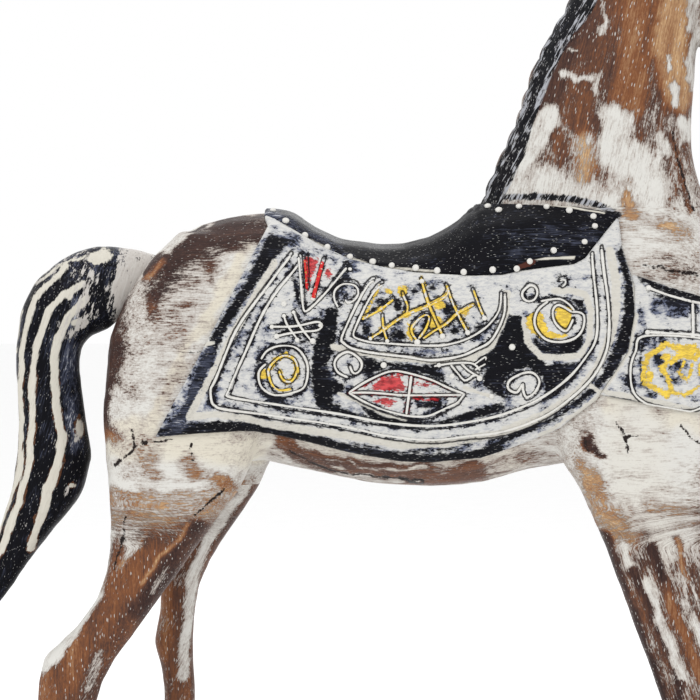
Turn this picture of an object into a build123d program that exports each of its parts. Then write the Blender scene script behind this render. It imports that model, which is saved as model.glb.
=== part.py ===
from build123d import *

from math import cos, pi, sin
import os

# A carved wooden horse with a painted saddle, glued up from separate blocks.
#
# Frame: +X points to the horse's nose, +Z is up and +Y is the horse's left.
# The origin is under the middle of the horse, on the plane of its hoof soles.
# All lengths are millimetres.

# --- driving dimensions -------------------------------------------------

LEG_JOINT_Z = 194.0  # the legs butt against the trunk here
TRUNK_JOINT_Z = 251.5  # glue line between the two trunk boards
NECK_JOINT_Z = 313.0  # the neck block stands on the trunk here
HEAD_JOINT_Z = 432.5  # the head block sits on the neck here

SADDLERY_THICKNESS = 2.2  # blanket and breast strap
SEAT_THICKNESS = 2.4
SADDLERY_LOWEST = 180.0  # no saddlery below this height
FACETS = 20  # knife facets round the trunk and neck
LEG_FACETS = 16  # knife facets round a leg or the tail
TRUNK_FULLNESS = 2.3  # 2 gives an ellipse, more gives a squarer section
LEG_FULLNESS = 2.5
REACH = 400.0  # longer than any part of the horse

DOWEL_RADIUS = 4.0
TRUNK_DOWEL_RADIUS = 5.0
HEAD_DOWEL_RADIUS = 3.0
DOWEL_BITE = 17.0  # depth of a dowel in each of the blocks it joins
TAIL_DOWEL_LENGTH = 31.0
HEAD_DOWEL_BITE = 12.0

# Cross-sections of the trunk: x, half width, underside z, top z.
TRUNK_SECTIONS = (
    (-104.0, 19.0, 216.0, 274.0),
    (-96.0, 27.0, 209.0, 286.0),
    (-86.0, 33.0, 205.0, 297.0),
    (-74.0, 36.5, 203.0, 304.5),
    (-60.0, 38.5, 203.0, 308.5),
    (-46.0, 39.5, 205.0, 310.0),
    (-35.0, 40.0, 203.0, 309.0),
    (-26.0, 40.0, 201.0, 302.5),
    (-14.0, 40.0, 198.0, 297.0),
    (3.0, 40.0, 195.3, 294.5),
    (14.0, 40.0, 194.3, 295.0),
    (25.0, 39.5, 194.0, 298.0),
    (36.0, 39.0, 194.6, 304.0),
    (46.0, 38.5, 196.0, 312.0),
    (66.0, 37.5, 201.5, 316.0),
    (90.0, 36.5, 205.0, 316.0),
    (112.0, 35.0, 207.0, 315.5),
    (130.0, 31.5, 210.0, 315.0),
    (142.0, 26.0, 215.0, 309.0),
    (150.0, 20.0, 224.0, 292.0),
    (156.0, 11.0, 246.0, 277.0),
)

# Legs from the sole up into the trunk: z, rear x, front x, inner y, outer y.
# The y values are distances from the middle plane of the horse.
HIND_RIGHT_SECTIONS = (
    (0.0, -142.0, -105.0, 10.5, 34.0),
    (18.0, -138.5, -112.0, 12.5, 32.0),
    (25.0, -138.5, -115.5, 14.5, 30.0),
    (34.0, -140.5, -117.5, 14.5, 30.0),
    (44.0, -137.5, -120.5, 16.0, 28.5),
    (60.0, -137.0, -122.0, 16.0, 28.5),
    (76.0, -138.5, -122.0, 15.5, 29.0),
    (92.0, -140.5, -119.5, 15.0, 29.5),
    (105.0, -141.3, -116.0, 14.5, 30.0),
    (113.5, -140.5, -113.5, 14.5, 30.5),
    (124.0, -138.0, -107.5, 14.0, 31.0),
    (130.0, -131.5, -103.0, 14.0, 31.5),
    (138.5, -123.0, -97.0, 14.0, 32.0),
    (149.0, -115.7, -89.5, 13.5, 32.5),
    (159.5, -112.0, -81.0, 12.5, 33.0),
    (170.0, -110.3, -74.0, 11.0, 34.0),
    (182.0, -110.3, -65.5, 9.0, 36.0),
    (194.0, -111.0, -55.7, 7.0, 38.0),
    (209.0, -112.3, -49.0, 3.0, 40.0),
    (224.0, -113.6, -44.0, 0.0, 41.0),
    (240.0, -112.5, -42.0, -1.5, 40.5),
    (258.0, -110.5, -43.0, -1.5, 39.0),
    (275.0, -104.0, -47.0, -1.5, 36.0),
    (290.0, -94.0, -52.0, -1.5, 30.0),
    (302.0, -82.0, -60.0, -1.5, 20.0),
)
HIND_LEFT_SECTIONS = (
    (0.0, -93.0, -57.0, 10.5, 34.0),
    (18.0, -89.5, -64.0, 12.5, 32.0),
    (25.0, -89.5, -68.0, 14.5, 30.0),
    (34.0, -91.5, -70.5, 14.5, 30.0),
    (44.0, -88.5, -74.0, 16.0, 28.5),
    (60.0, -88.3, -75.3, 16.0, 28.5),
    (92.0, -89.0, -75.8, 15.5, 29.0),
    (105.0, -89.3, -75.8, 15.0, 29.5),
    (114.0, -90.2, -76.2, 14.5, 30.0),
    (126.0, -93.5, -76.8, 14.0, 30.5),
    (139.0, -91.0, -75.8, 14.0, 31.0),
    (150.0, -90.5, -74.2, 13.5, 32.0),
    (160.5, -91.5, -69.5, 12.5, 33.0),
    (170.0, -94.5, -63.5, 11.0, 34.0),
    (182.0, -99.5, -55.5, 9.0, 36.0),
    (194.0, -104.5, -47.5, 7.0, 38.0),
    (209.0, -107.5, -41.0, 3.0, 40.0),
    (224.0, -110.5, -39.0, 0.0, 41.0),
    (240.0, -111.0, -40.0, -1.5, 40.5),
    (258.0, -109.5, -43.0, -1.5, 39.0),
    (275.0, -103.5, -47.0, -1.5, 36.0),
    (290.0, -94.0, -52.0, -1.5, 30.0),
    (302.0, -82.0, -60.0, -1.5, 20.0),
)
FORE_RIGHT_SECTIONS = (
    (0.0, 141.0, 174.0, 10.5, 34.0),
    (18.0, 143.5, 165.5, 12.5, 32.0),
    (25.0, 143.0, 161.5, 14.5, 30.0),
    (34.0, 139.5, 160.0, 14.5, 30.0),
    (44.0, 139.0, 155.5, 16.0, 28.5),
    (56.0, 136.5, 154.5, 16.0, 28.5),
    (70.0, 132.5, 155.5, 14.5, 30.0),
    (80.0, 129.5, 156.5, 13.5, 31.0),
    (92.0, 126.0, 154.5, 14.0, 31.0),
    (105.0, 121.6, 151.5, 14.0, 31.0),
    (118.0, 117.0, 149.5, 13.5, 31.5),
    (130.0, 112.4, 148.5, 13.0, 32.0),
    (153.0, 104.0, 148.0, 11.5, 33.0),
    (170.0, 97.7, 148.5, 10.0, 34.0),
    (182.5, 92.2, 149.2, 9.0, 35.0),
    (194.0, 87.0, 150.0, 7.0, 36.0),
    (206.0, 79.0, 151.5, 4.0, 37.0),
    (222.0, 75.0, 153.5, 1.0, 38.0),
    (240.0, 75.0, 155.0, -1.0, 38.0),
    (258.0, 77.0, 154.5, -1.5, 36.5),
    (275.0, 82.0, 150.0, -1.5, 33.0),
    (292.0, 92.0, 142.0, -1.5, 27.0),
)
FORE_LEFT_SECTIONS = (
    (0.0, 148.5, 181.5, 10.5, 34.0),
    (18.0, 151.0, 173.0, 12.5, 32.0),
    (25.0, 150.5, 169.0, 14.5, 30.0),
    (34.0, 147.0, 167.5, 14.5, 30.0),
    (44.0, 146.5, 163.0, 16.0, 28.5),
    (56.0, 143.5, 161.5, 16.0, 28.5),
    (70.0, 139.0, 162.0, 14.5, 30.0),
    (80.0, 135.5, 163.0, 13.5, 31.0),
    (92.0, 131.5, 160.5, 14.0, 31.0),
    (105.0, 127.0, 157.5, 14.0, 31.0),
    (118.0, 122.0, 155.0, 13.5, 31.5),
    (130.0, 117.0, 153.5, 13.0, 32.0),
    (153.0, 108.0, 151.5, 11.5, 33.0),
    (170.0, 101.0, 151.0, 10.0, 34.0),
    (182.5, 95.0, 150.5, 9.0, 35.0),
    (194.0, 89.0, 150.5, 7.0, 36.0),
    (206.0, 80.5, 151.5, 4.0, 37.0),
    (222.0, 75.5, 153.5, 1.0, 38.0),
    (240.0, 75.0, 155.0, -1.0, 38.0),
    (258.0, 77.0, 154.5, -1.5, 36.5),
    (275.0, 82.0, 150.0, -1.5, 33.0),
    (292.0, 92.0, 142.0, -1.5, 27.0),
)

# Neck from inside the trunk up to the poll: z, crest x, throat x, half width.
NECK_SECTIONS = (
    (286.0, 58.0, 148.0, 31.0),
    (300.0, 50.0, 145.0, 28.0),
    (313.0, 45.5, 141.0, 25.0),
    (321.0, 48.0, 139.0, 23.5),
    (329.0, 51.5, 136.5, 22.5),
    (338.0, 56.0, 135.2, 21.5),
    (351.0, 61.5, 135.0, 20.5),
    (365.0, 66.0, 136.0, 19.5),
    (379.0, 71.5, 137.0, 19.0),
    (399.0, 83.0, 137.5, 18.5),
    (412.0, 89.0, 137.0, 18.0),
    (424.0, 94.7, 135.5, 17.5),
    (432.5, 99.0, 133.5, 17.0),
    (447.0, 108.0, 142.0, 16.0),
    (458.0, 117.0, 148.0, 13.5),
    (467.0, 126.0, 150.0, 9.5),
)
CREST_NARROWING = 0.42  # how much slimmer the neck is at the crest
COLLAR_TOP = NECK_JOINT_Z + 10  # saddlery is cut from the neck up to here

# Head, tucked down against the neck: z, jaw x, face x, half width.
HEAD_SECTIONS = (
    (366.0, 150.0, 162.0, 7.0),
    (370.0, 144.0, 167.5, 9.5),
    (377.0, 139.5, 172.5, 11.5),
    (387.0, 137.0, 176.5, 12.5),
    (399.0, 136.5, 179.5, 13.5),
    (415.0, 135.5, 181.0, 15.5),
    (432.5, 132.0, 179.5, 17.5),
    (442.0, 129.0, 177.5, 17.5),
    (454.0, 127.0, 172.5, 16.0),
    (466.0, 129.0, 164.5, 13.0),
    (474.5, 138.0, 155.0, 8.0),
)

# Ears: z, middle x, middle y, half length along x, half width along y.
EAR_FACETS = 12
EAR_SECTIONS = (
    (464.0, 146.0, 8.5, 4.0, 2.8),
    (474.0, 147.5, 9.0, 4.6, 3.2),
    (483.0, 148.0, 10.0, 4.2, 3.0),
    (491.0, 147.5, 11.0, 2.6, 2.2),
    (498.0, 146.0, 12.0, 0.8, 0.8),
)

# Tail: upper or rear x and z, under or front x and z, half thickness.
TAIL_SECTIONS = (
    (-82.0, 289.0, -97.0, 254.0, 11.0),
    (-99.8, 294.4, -109.0, 261.0, 12.5),
    (-114.5, 296.1, -114.8, 260.3, 13.0),
    (-124.5, 293.8, -118.0, 259.0, 13.0),
    (-132.5, 289.4, -120.5, 257.5, 13.0),
    (-142.2, 281.4, -123.0, 254.6, 13.0),
    (-148.6, 268.5, -124.3, 251.2, 12.5),
    (-150.6, 252.4, -124.5, 245.3, 12.0),
    (-150.2, 235.6, -123.3, 233.1, 12.0),
    (-149.3, 222.6, -121.6, 222.2, 12.0),
    (-150.2, 207.5, -119.1, 207.5, 12.0),
    (-152.3, 193.2, -122.7, 192.0, 11.5),
    (-155.0, 184.5, -131.8, 180.5, 10.5),
    (-159.0, 172.2, -144.5, 164.8, 8.5),
    (-165.0, 157.5, -154.8, 149.5, 6.5),
    (-174.1, 136.5, -168.2, 131.9, 4.0),
    (-182.0, 118.6, -179.8, 116.6, 1.6),
)
TAIL_JOINT = (-99.8, 0.0, 275.5)  # middle of the flat the tail is glued to
TAIL_JOINT_NORMAL = (-0.768, 0.0, 0.641)
TAIL_ROOT_SIZE = 66.0  # wider than the tail's root

# Outlines seen from the side, as x and z.
SEAT_LOWER_EDGE = (
    (-45.5, 308.0),
    (-41.0, 306.5),
    (-32.5, 301.5),
    (-22.0, 295.3),
    (-9.5, 289.8),
    (3.0, 287.0),
    (16.0, 285.2),
    (28.5, 284.4),
    (41.0, 284.2),
    (54.0, 284.6),
    (62.5, 286.4),
    (73.0, 287.7),
    (84.0, 289.0),
    (88.5, 291.5),
    (97.5, 302.0),
    (103.0, 308.5),
)
SEAT_UPPER_EDGE = (
    (95.6, 311.2),
    (84.0, 313.0),
    (45.5, 313.0),
    (45.5, 330.0),
    (-45.5, 330.0),
)
BLANKET_SHOULDER = ((104.0, 296.0),)
STRAP_START_EDGE = (
    (107.5, 285.0),
    (109.0, 280.0),
    (109.0, 268.0),
    (106.5, 252.8),
    (96.0, 236.5),
    (95.0, 235.0),
)
BLANKET_LOWER_EDGE = (
    (93.5, 232.7),
    (79.0, 221.3),
    (59.0, 213.4),
    (45.0, 208.7),
    (25.0, 207.1),
    (11.5, 207.5),
    (-9.5, 211.3),
    (-26.3, 215.5),
    (-43.0, 219.2),
    (-56.0, 220.0),
    (-72.5, 219.2),
    (-90.5, 217.6),
    (-43.9, 304.0),
)
STRAP_FREE_EDGE = (
    (99.8, 234.0),
    (137.6, 227.0),
    (170.0, 221.0),
    (170.0, 269.0),
    (137.6, 275.0),
)

# Carved details of the head.
MOUTH_OUTLINE = ((176.0, 374.5), (155.0, 377.0), (176.0, 377.0))
MOUTH_FLOOR_Y = 8.6  # the mouth is cut in from both cheeks down to here
NOSTRIL = (172.5, 8.0, 384.5)
NOSTRIL_RADIUS = 2.2
EYE = (162.0, 14.2, 441.0)
EYE_RADIUS = 3.6

# Dowel places, x and y.
TRUNK_DOWELS = ((-70.0, 0.0), (15.0, 0.0), (105.0, 0.0))
NECK_DOWELS = ((75.0, 0.0), (112.0, 0.0))
HEAD_DOWELS = ((116.5, 0.0), (127.0, 0.0))
HIND_RIGHT_DOWELS = ((-98.0, -22.0), (-80.0, -22.0))
HIND_LEFT_DOWELS = ((-87.0, 22.0), (-70.0, 22.0))
FORE_RIGHT_DOWELS = ((110.0, -21.0), (133.0, -21.0))
FORE_LEFT_DOWELS = ((114.0, 21.0), (136.0, 21.0))


# --- shapes used more than once -----------------------------------------


def swell(value, fullness):
    """One coordinate of a squared-off ellipse, from a cosine or a sine."""
    size = abs(value) ** (2 / fullness)
    return size if value >= 0 else -size


def oval(u, v, half_u, half_v, facets, fullness, narrowing=0.0):
    """Corner points of a faceted oval; it can be slimmer towards its -u end."""
    points = []
    for step in range(facets):
        angle = 2 * pi * step / facets
        along = swell(cos(angle), fullness)
        across = swell(sin(angle), fullness)
        slimmer = 1 - narrowing * (1 - along) / 2
        points.append((u + half_u * along, v + half_v * across * slimmer))
    return points


def trunk_barrel(growth):
    """The barrel of the trunk, with its skin moved outward by growth."""
    first = TRUNK_SECTIONS[0][0]
    last = TRUNK_SECTIONS[-1][0]
    with BuildPart() as barrel:
        for x, half_width, low, high in TRUNK_SECTIONS:
            place = x - growth if x == first else x + growth if x == last else x
            middle = (low + high) / 2
            half_height = (high - low) / 2 + growth
            outline = oval(
                0, middle, half_width + growth, half_height, FACETS, TRUNK_FULLNESS
            )
            with BuildSketch(Plane.YZ.offset(place)):
                Polygon(*outline, align=None)
        loft(ruled=True)
    return barrel.part


def limb(sections, side, growth, lowest=0.0):
    """A leg with its haunch or shoulder; side is -1 for right and 1 for left."""
    with BuildPart() as leg:
        for z, rear, front, inner, outer in sections:
            if z < lowest:
                continue
            half_length = (front - rear) / 2 + growth
            half_width = (outer - inner) / 2 + growth
            middle_x = (front + rear) / 2
            middle_y = side * (outer + inner) / 2
            outline = oval(
                middle_x, middle_y, half_length, half_width, LEG_FACETS, LEG_FULLNESS
            )
            with BuildSketch(Plane.XY.offset(z)):
                Polygon(*outline, align=None)
        loft(ruled=True)
    return leg.part


def neck_column(growth, highest=REACH * 2):
    """The neck from inside the trunk upward, slimmer at its crest."""
    with BuildPart() as column:
        for z, crest, throat, half_width in NECK_SECTIONS:
            if z > highest:
                continue
            outline = oval(
                (crest + throat) / 2,
                0,
                (throat - crest) / 2 + growth,
                half_width + growth,
                FACETS,
                TRUNK_FULLNESS,
                CREST_NARROWING,
            )
            with BuildSketch(Plane.XY.offset(z)):
                Polygon(*outline, align=None)
        loft(ruled=True)
    return column.part


def slab(low, high):
    """Everything between two heights."""
    with BuildPart() as layer:
        with Locations((0, 0, (low + high) / 2)):
            Box(2 * REACH, 2 * REACH, high - low)
    return layer.part


def side_cutter(outline, from_y, to_y):
    """A prism across the horse with an outline drawn in the side view."""
    with BuildPart() as cutter:
        with BuildSketch(Plane.XZ.offset(-to_y)):
            Polygon(*outline, align=None)
        extrude(amount=to_y - from_y)
    return cutter.part


def upright_dowels(places, height, radius, bite):
    """Round pegs that cross a level joint."""
    with BuildPart() as pegs:
        for x, y in places:
            with Locations((x, y, height)):
                Cylinder(radius, 2 * bite)
    return pegs


def ear(side):
    """A pointed ear whose root sits in a socket in the poll."""
    with BuildPart() as point:
        for z, x, y, half_length, half_width in EAR_SECTIONS:
            outline = oval(x, side * y, half_length, half_width, EAR_FACETS, LEG_FULLNESS)
            with BuildSketch(Plane.XY.offset(z)):
                Polygon(*outline, align=None)
        loft(ruled=True)
    return point.part


def skin(thickness):
    """The trunk made thicker all over, for cutting saddlery from."""
    layers = (
        trunk_barrel(thickness),
        limb(HIND_RIGHT_SECTIONS, -1, thickness, SADDLERY_LOWEST),
        limb(HIND_LEFT_SECTIONS, 1, thickness, SADDLERY_LOWEST),
        limb(FORE_RIGHT_SECTIONS, -1, thickness, SADDLERY_LOWEST),
        limb(FORE_LEFT_SECTIONS, 1, thickness, SADDLERY_LOWEST),
        neck_column(thickness, COLLAR_TOP),
    )
    with BuildPart() as shell:
        for layer in layers:
            add(layer)
    return shell.part


# --- whole shapes, before they are cut into blocks -----------------------

hind_right_limb = limb(HIND_RIGHT_SECTIONS, -1, 0)
hind_left_limb = limb(HIND_LEFT_SECTIONS, 1, 0)
fore_right_limb = limb(FORE_RIGHT_SECTIONS, -1, 0)
fore_left_limb = limb(FORE_LEFT_SECTIONS, 1, 0)
neck_whole = neck_column(0)
barrel_whole = trunk_barrel(0)

with BuildPart() as body:
    add(barrel_whole)
    add(hind_right_limb)
    add(hind_left_limb)
    add(fore_right_limb)
    add(fore_left_limb)
    add(neck_whole)


with BuildPart() as tail_column:
    for rear_x, rear_z, front_x, front_z, half_thickness in TAIL_SECTIONS:
        across = Vector(rear_x - front_x, 0, rear_z - front_z)
        middle = ((rear_x + front_x) / 2, 0, (rear_z + front_z) / 2)
        station = Plane(
            origin=middle, x_dir=across.normalized(), z_dir=across.cross(Vector(0, 1, 0))
        )
        outline = oval(0, 0, across.length / 2, half_thickness, LEG_FACETS, LEG_FULLNESS)
        with BuildSketch(station):
            Polygon(*outline, align=None)
    loft(ruled=True)

TAIL_FLAT = Plane(origin=TAIL_JOINT, x_dir=(0, 1, 0), z_dir=TAIL_JOINT_NORMAL)

with BuildPart() as tail_root_waste:
    with BuildSketch(TAIL_FLAT):
        Rectangle(TAIL_ROOT_SIZE, TAIL_ROOT_SIZE)
    extrude(amount=-TAIL_ROOT_SIZE)

with BuildPart() as tail_dowel:
    with BuildSketch(TAIL_FLAT.offset(-DOWEL_BITE)):
        Circle(DOWEL_RADIUS)
    extrude(amount=TAIL_DOWEL_LENGTH)

# The tail block without its dowel hole; the trunk has a shallow seat for it.
with BuildPart() as tail_blank:
    add(tail_column.part)
    add(tail_root_waste.part, mode=Mode.SUBTRACT)

with BuildPart() as head_column:
    for z, jaw, face, half_width in HEAD_SECTIONS:
        outline = oval(
            (jaw + face) / 2, 0, (face - jaw) / 2, half_width, FACETS, TRUNK_FULLNESS
        )
        with BuildSketch(Plane.XY.offset(z)):
            Polygon(*outline, align=None)
    loft(ruled=True)

torso_dowels = upright_dowels(TRUNK_DOWELS, TRUNK_JOINT_Z, TRUNK_DOWEL_RADIUS, DOWEL_BITE)
neck_dowels = upright_dowels(NECK_DOWELS, NECK_JOINT_Z, TRUNK_DOWEL_RADIUS, DOWEL_BITE)
head_dowels = upright_dowels(HEAD_DOWELS, HEAD_JOINT_Z, HEAD_DOWEL_RADIUS, HEAD_DOWEL_BITE)
hind_leg_right_dowels = upright_dowels(HIND_RIGHT_DOWELS, LEG_JOINT_Z, DOWEL_RADIUS, DOWEL_BITE)
hind_leg_left_dowels = upright_dowels(HIND_LEFT_DOWELS, LEG_JOINT_Z, DOWEL_RADIUS, DOWEL_BITE)
fore_leg_right_dowels = upright_dowels(FORE_RIGHT_DOWELS, LEG_JOINT_Z, DOWEL_RADIUS, DOWEL_BITE)
fore_leg_left_dowels = upright_dowels(FORE_LEFT_DOWELS, LEG_JOINT_Z, DOWEL_RADIUS, DOWEL_BITE)

leg_zone = slab(-REACH, LEG_JOINT_Z)
lower_board_zone = slab(LEG_JOINT_Z, TRUNK_JOINT_Z)
upper_board_zone = slab(TRUNK_JOINT_Z, NECK_JOINT_Z)
neck_zone = slab(NECK_JOINT_Z, HEAD_JOINT_Z)
head_zone = slab(HEAD_JOINT_Z, 2 * REACH)

blanket_outline = (
    SEAT_LOWER_EDGE + BLANKET_SHOULDER + STRAP_START_EDGE + BLANKET_LOWER_EDGE
)
seat_cutter = side_cutter(SEAT_LOWER_EDGE + SEAT_UPPER_EDGE, -REACH, REACH)
strap_cutter = side_cutter(STRAP_START_EDGE + STRAP_FREE_EDGE, -REACH, REACH)
blanket_right_cutter = side_cutter(blanket_outline, -REACH, 0)
blanket_left_cutter = side_cutter(blanket_outline, 0, REACH)
mouth_right_cutter = side_cutter(MOUTH_OUTLINE, -REACH, -MOUTH_FLOOR_Y)
mouth_left_cutter = side_cutter(MOUTH_OUTLINE, MOUTH_FLOOR_Y, REACH)
saddlery_skin = skin(SADDLERY_THICKNESS)
seat_skin = skin(SEAT_THICKNESS)

# --- blocks of the body ---------------------------------------------------

with BuildPart() as torso_upper:
    add(body.part)
    add(upper_board_zone, mode=Mode.INTERSECT)
    add(tail_blank.part, mode=Mode.SUBTRACT)
    add(tail_dowel.part, mode=Mode.SUBTRACT)
    add(torso_dowels.part, mode=Mode.SUBTRACT)
    add(neck_dowels.part, mode=Mode.SUBTRACT)

with BuildPart() as torso_lower:
    add(body.part)
    add(lower_board_zone, mode=Mode.INTERSECT)
    add(tail_blank.part, mode=Mode.SUBTRACT)
    add(torso_dowels.part, mode=Mode.SUBTRACT)
    add(hind_leg_right_dowels.part, mode=Mode.SUBTRACT)
    add(hind_leg_left_dowels.part, mode=Mode.SUBTRACT)
    add(fore_leg_right_dowels.part, mode=Mode.SUBTRACT)
    add(fore_leg_left_dowels.part, mode=Mode.SUBTRACT)

with BuildPart() as hind_leg_right:
    add(hind_right_limb)
    add(leg_zone, mode=Mode.INTERSECT)
    add(hind_leg_right_dowels.part, mode=Mode.SUBTRACT)

with BuildPart() as hind_leg_left:
    add(hind_left_limb)
    add(leg_zone, mode=Mode.INTERSECT)
    add(hind_leg_left_dowels.part, mode=Mode.SUBTRACT)

with BuildPart() as fore_leg_right:
    add(fore_right_limb)
    add(leg_zone, mode=Mode.INTERSECT)
    add(fore_leg_right_dowels.part, mode=Mode.SUBTRACT)

with BuildPart() as fore_leg_left:
    add(fore_left_limb)
    add(leg_zone, mode=Mode.INTERSECT)
    add(fore_leg_left_dowels.part, mode=Mode.SUBTRACT)

with BuildPart() as neck:
    add(neck_whole)
    add(neck_zone, mode=Mode.INTERSECT)
    add(neck_dowels.part, mode=Mode.SUBTRACT)
    add(head_dowels.part, mode=Mode.SUBTRACT)

with BuildPart() as neck_top:
    add(neck_whole)
    add(head_zone, mode=Mode.INTERSECT)

with BuildPart() as tail:
    add(tail_blank.part)
    add(tail_dowel.part, mode=Mode.SUBTRACT)


right_ear = ear(-1)
left_ear = ear(1)

with BuildPart() as ear_right:
    add(right_ear)

with BuildPart() as ear_left:
    add(left_ear)

with BuildPart() as head:
    add(head_column.part)
    add(neck_top.part)
    for side in (-1, 1):
        with Locations((EYE[0], side * EYE[1], EYE[2])):
            Sphere(EYE_RADIUS)
        with Locations((NOSTRIL[0], side * NOSTRIL[1], NOSTRIL[2])):
            Sphere(NOSTRIL_RADIUS, mode=Mode.SUBTRACT)
    add(mouth_right_cutter, mode=Mode.SUBTRACT)
    add(mouth_left_cutter, mode=Mode.SUBTRACT)
    add(neck.part, mode=Mode.SUBTRACT)
    add(head_dowels.part, mode=Mode.SUBTRACT)
    add(right_ear, mode=Mode.SUBTRACT)
    add(left_ear, mode=Mode.SUBTRACT)

# --- saddlery ---------------------------------------------------------------

with BuildPart() as saddle_seat:
    add(seat_skin)
    add(seat_cutter, mode=Mode.INTERSECT)
    add(body.part, mode=Mode.SUBTRACT)

with BuildPart() as blanket_right:
    add(saddlery_skin)
    add(blanket_right_cutter, mode=Mode.INTERSECT)
    add(body.part, mode=Mode.SUBTRACT)

with BuildPart() as blanket_left:
    add(saddlery_skin)
    add(blanket_left_cutter, mode=Mode.INTERSECT)
    add(body.part, mode=Mode.SUBTRACT)

with BuildPart() as breast_strap:
    add(saddlery_skin)
    add(strap_cutter, mode=Mode.INTERSECT)
    add(body.part, mode=Mode.SUBTRACT)

# --- files ------------------------------------------------------------------

BLOCKS = {
    "torso_upper": torso_upper,
    "torso_lower": torso_lower,
    "neck": neck,
    "head": head,
    "ear_right": ear_right,
    "ear_left": ear_left,
    "tail": tail,
    "hind_leg_right": hind_leg_right,
    "hind_leg_left": hind_leg_left,
    "fore_leg_right": fore_leg_right,
    "fore_leg_left": fore_leg_left,
    "saddle_seat": saddle_seat,
    "blanket_right": blanket_right,
    "blanket_left": blanket_left,
    "breast_strap": breast_strap,
    "torso_dowels": torso_dowels,
    "neck_dowels": neck_dowels,
    "head_dowels": head_dowels,
    "tail_dowel": tail_dowel,
    "hind_leg_right_dowels": hind_leg_right_dowels,
    "hind_leg_left_dowels": hind_leg_left_dowels,
    "fore_leg_right_dowels": fore_leg_right_dowels,
    "fore_leg_left_dowels": fore_leg_left_dowels,
}

os.makedirs("parts", exist_ok=True)
for name, block in BLOCKS.items():
    block.part.label = name
    export_step(block.part, f"parts/{name}.step")
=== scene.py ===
"""Looks of the carved and painted wooden horse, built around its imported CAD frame.

Numbers in outlines and brush strokes are millimetres in the side view of the horse:
x towards the nose, z up from the soles. Both flanks get the same painted pattern.
"""

import math

import bmesh
import bpy
import numpy as np
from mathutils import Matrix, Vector
from mathutils.bvhtree import BVHTree


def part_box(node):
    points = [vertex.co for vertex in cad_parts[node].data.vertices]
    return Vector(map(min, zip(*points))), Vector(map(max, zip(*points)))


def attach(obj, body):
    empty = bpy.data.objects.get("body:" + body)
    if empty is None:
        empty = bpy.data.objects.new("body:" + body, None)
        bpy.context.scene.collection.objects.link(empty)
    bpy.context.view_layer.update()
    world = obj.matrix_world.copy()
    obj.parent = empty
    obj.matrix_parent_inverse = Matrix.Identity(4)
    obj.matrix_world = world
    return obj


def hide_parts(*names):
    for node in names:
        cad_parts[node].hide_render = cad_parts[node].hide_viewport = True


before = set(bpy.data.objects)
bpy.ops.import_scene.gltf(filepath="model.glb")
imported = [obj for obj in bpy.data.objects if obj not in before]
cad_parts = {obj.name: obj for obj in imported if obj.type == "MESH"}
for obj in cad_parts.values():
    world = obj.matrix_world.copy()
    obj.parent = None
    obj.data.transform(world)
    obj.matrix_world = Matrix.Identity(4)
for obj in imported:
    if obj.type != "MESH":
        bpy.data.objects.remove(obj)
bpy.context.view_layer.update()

MM = 0.001
BODY_VOXEL = 1.0  # grid of the carved skin, mm
SADDLERY_VOXEL = 1.15  # grid under the saddlery, which is then halved
SKIN_ROUNDS, UNDER_SKIN_ROUNDS, TAIL_ROUNDS = 20, 15, 60  # of rounding off
TAIL_VOXEL = 0.9
EAR_VOXEL = 0.55
LEG_JOINT_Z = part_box("torso_lower")[0].z / MM
TRUNK_JOINT_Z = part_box("torso_upper")[0].z / MM
NECK_JOINT_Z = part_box("neck")[0].z / MM
HEAD_JOINT_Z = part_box("neck")[1].z / MM
MIDDLE_X = 20.0  # between the hind and the fore legs
JAW_X = 136.3  # the jaw lies against the throat here
JAW_LOWEST = 362.0
FLAT_TOUCH = 0.004  # a point this near a cutting plane lies on it, mm
CUT_MARGIN = 2.5  # faces this near an outline or plane are kept until the cut, mm
NOISE_PRIMES = (73856093, 19349663, 83492791)  # they scatter the noise's grid cells
NOISE_SPREAD = 1274126177
NOISE_STEPS = 100003  # different heights of the noise's corners
SEED_SHIFT = 17.31  # between the noises of two seeds, in features

BODY_NODES = (
    "torso_upper", "torso_lower", "neck", "head",
    "hind_leg_right", "hind_leg_left", "fore_leg_right", "fore_leg_left",
)

# --- numbers in space ------------------------------------------------------


def value_noise(points, size, seed):
    """Smooth noise from -1 to 1 with features about size mm wide."""
    scaled = points / size + seed * SEED_SHIFT
    cell = np.floor(scaled).astype(np.int64)
    local = scaled - cell
    ease = local * local * (3 - 2 * local)
    total = np.zeros(len(points))
    for corner in range(8):
        step = np.array([corner & 1, corner >> 1 & 1, corner >> 2 & 1])
        where = cell + step
        hashed = where * np.array(NOISE_PRIMES)
        key = hashed[:, 0] ^ hashed[:, 1] ^ hashed[:, 2]
        key = (key ^ (key >> 13)) * NOISE_SPREAD & 0x7FFFFFFF
        weight = np.prod(np.where(step == 1, ease, 1 - ease), axis=1)
        total += weight * (key % NOISE_STEPS / (NOISE_STEPS / 2) - 1)
    return total


def smoothstep(low, high, value):
    """0 at low and 1 at high, with a soft start and end; low may be the larger."""
    share = np.clip((value - low) / (high - low), 0, 1)
    return share * share * (3 - 2 * share)


def line_distance(x, z, line):
    """Distance in the side view to a polyline, in mm."""
    best = np.full(len(x), 1e9)
    for (x0, z0), (x1, z1) in zip(line[:-1], line[1:]):
        dx, dz = x1 - x0, z1 - z0
        share = ((x - x0) * dx + (z - z0) * dz) / (dx * dx + dz * dz)
        share = np.clip(share, 0, 1)
        best = np.minimum(best, np.hypot(x - x0 - share * dx, z - z0 - share * dz))
    return best


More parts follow.
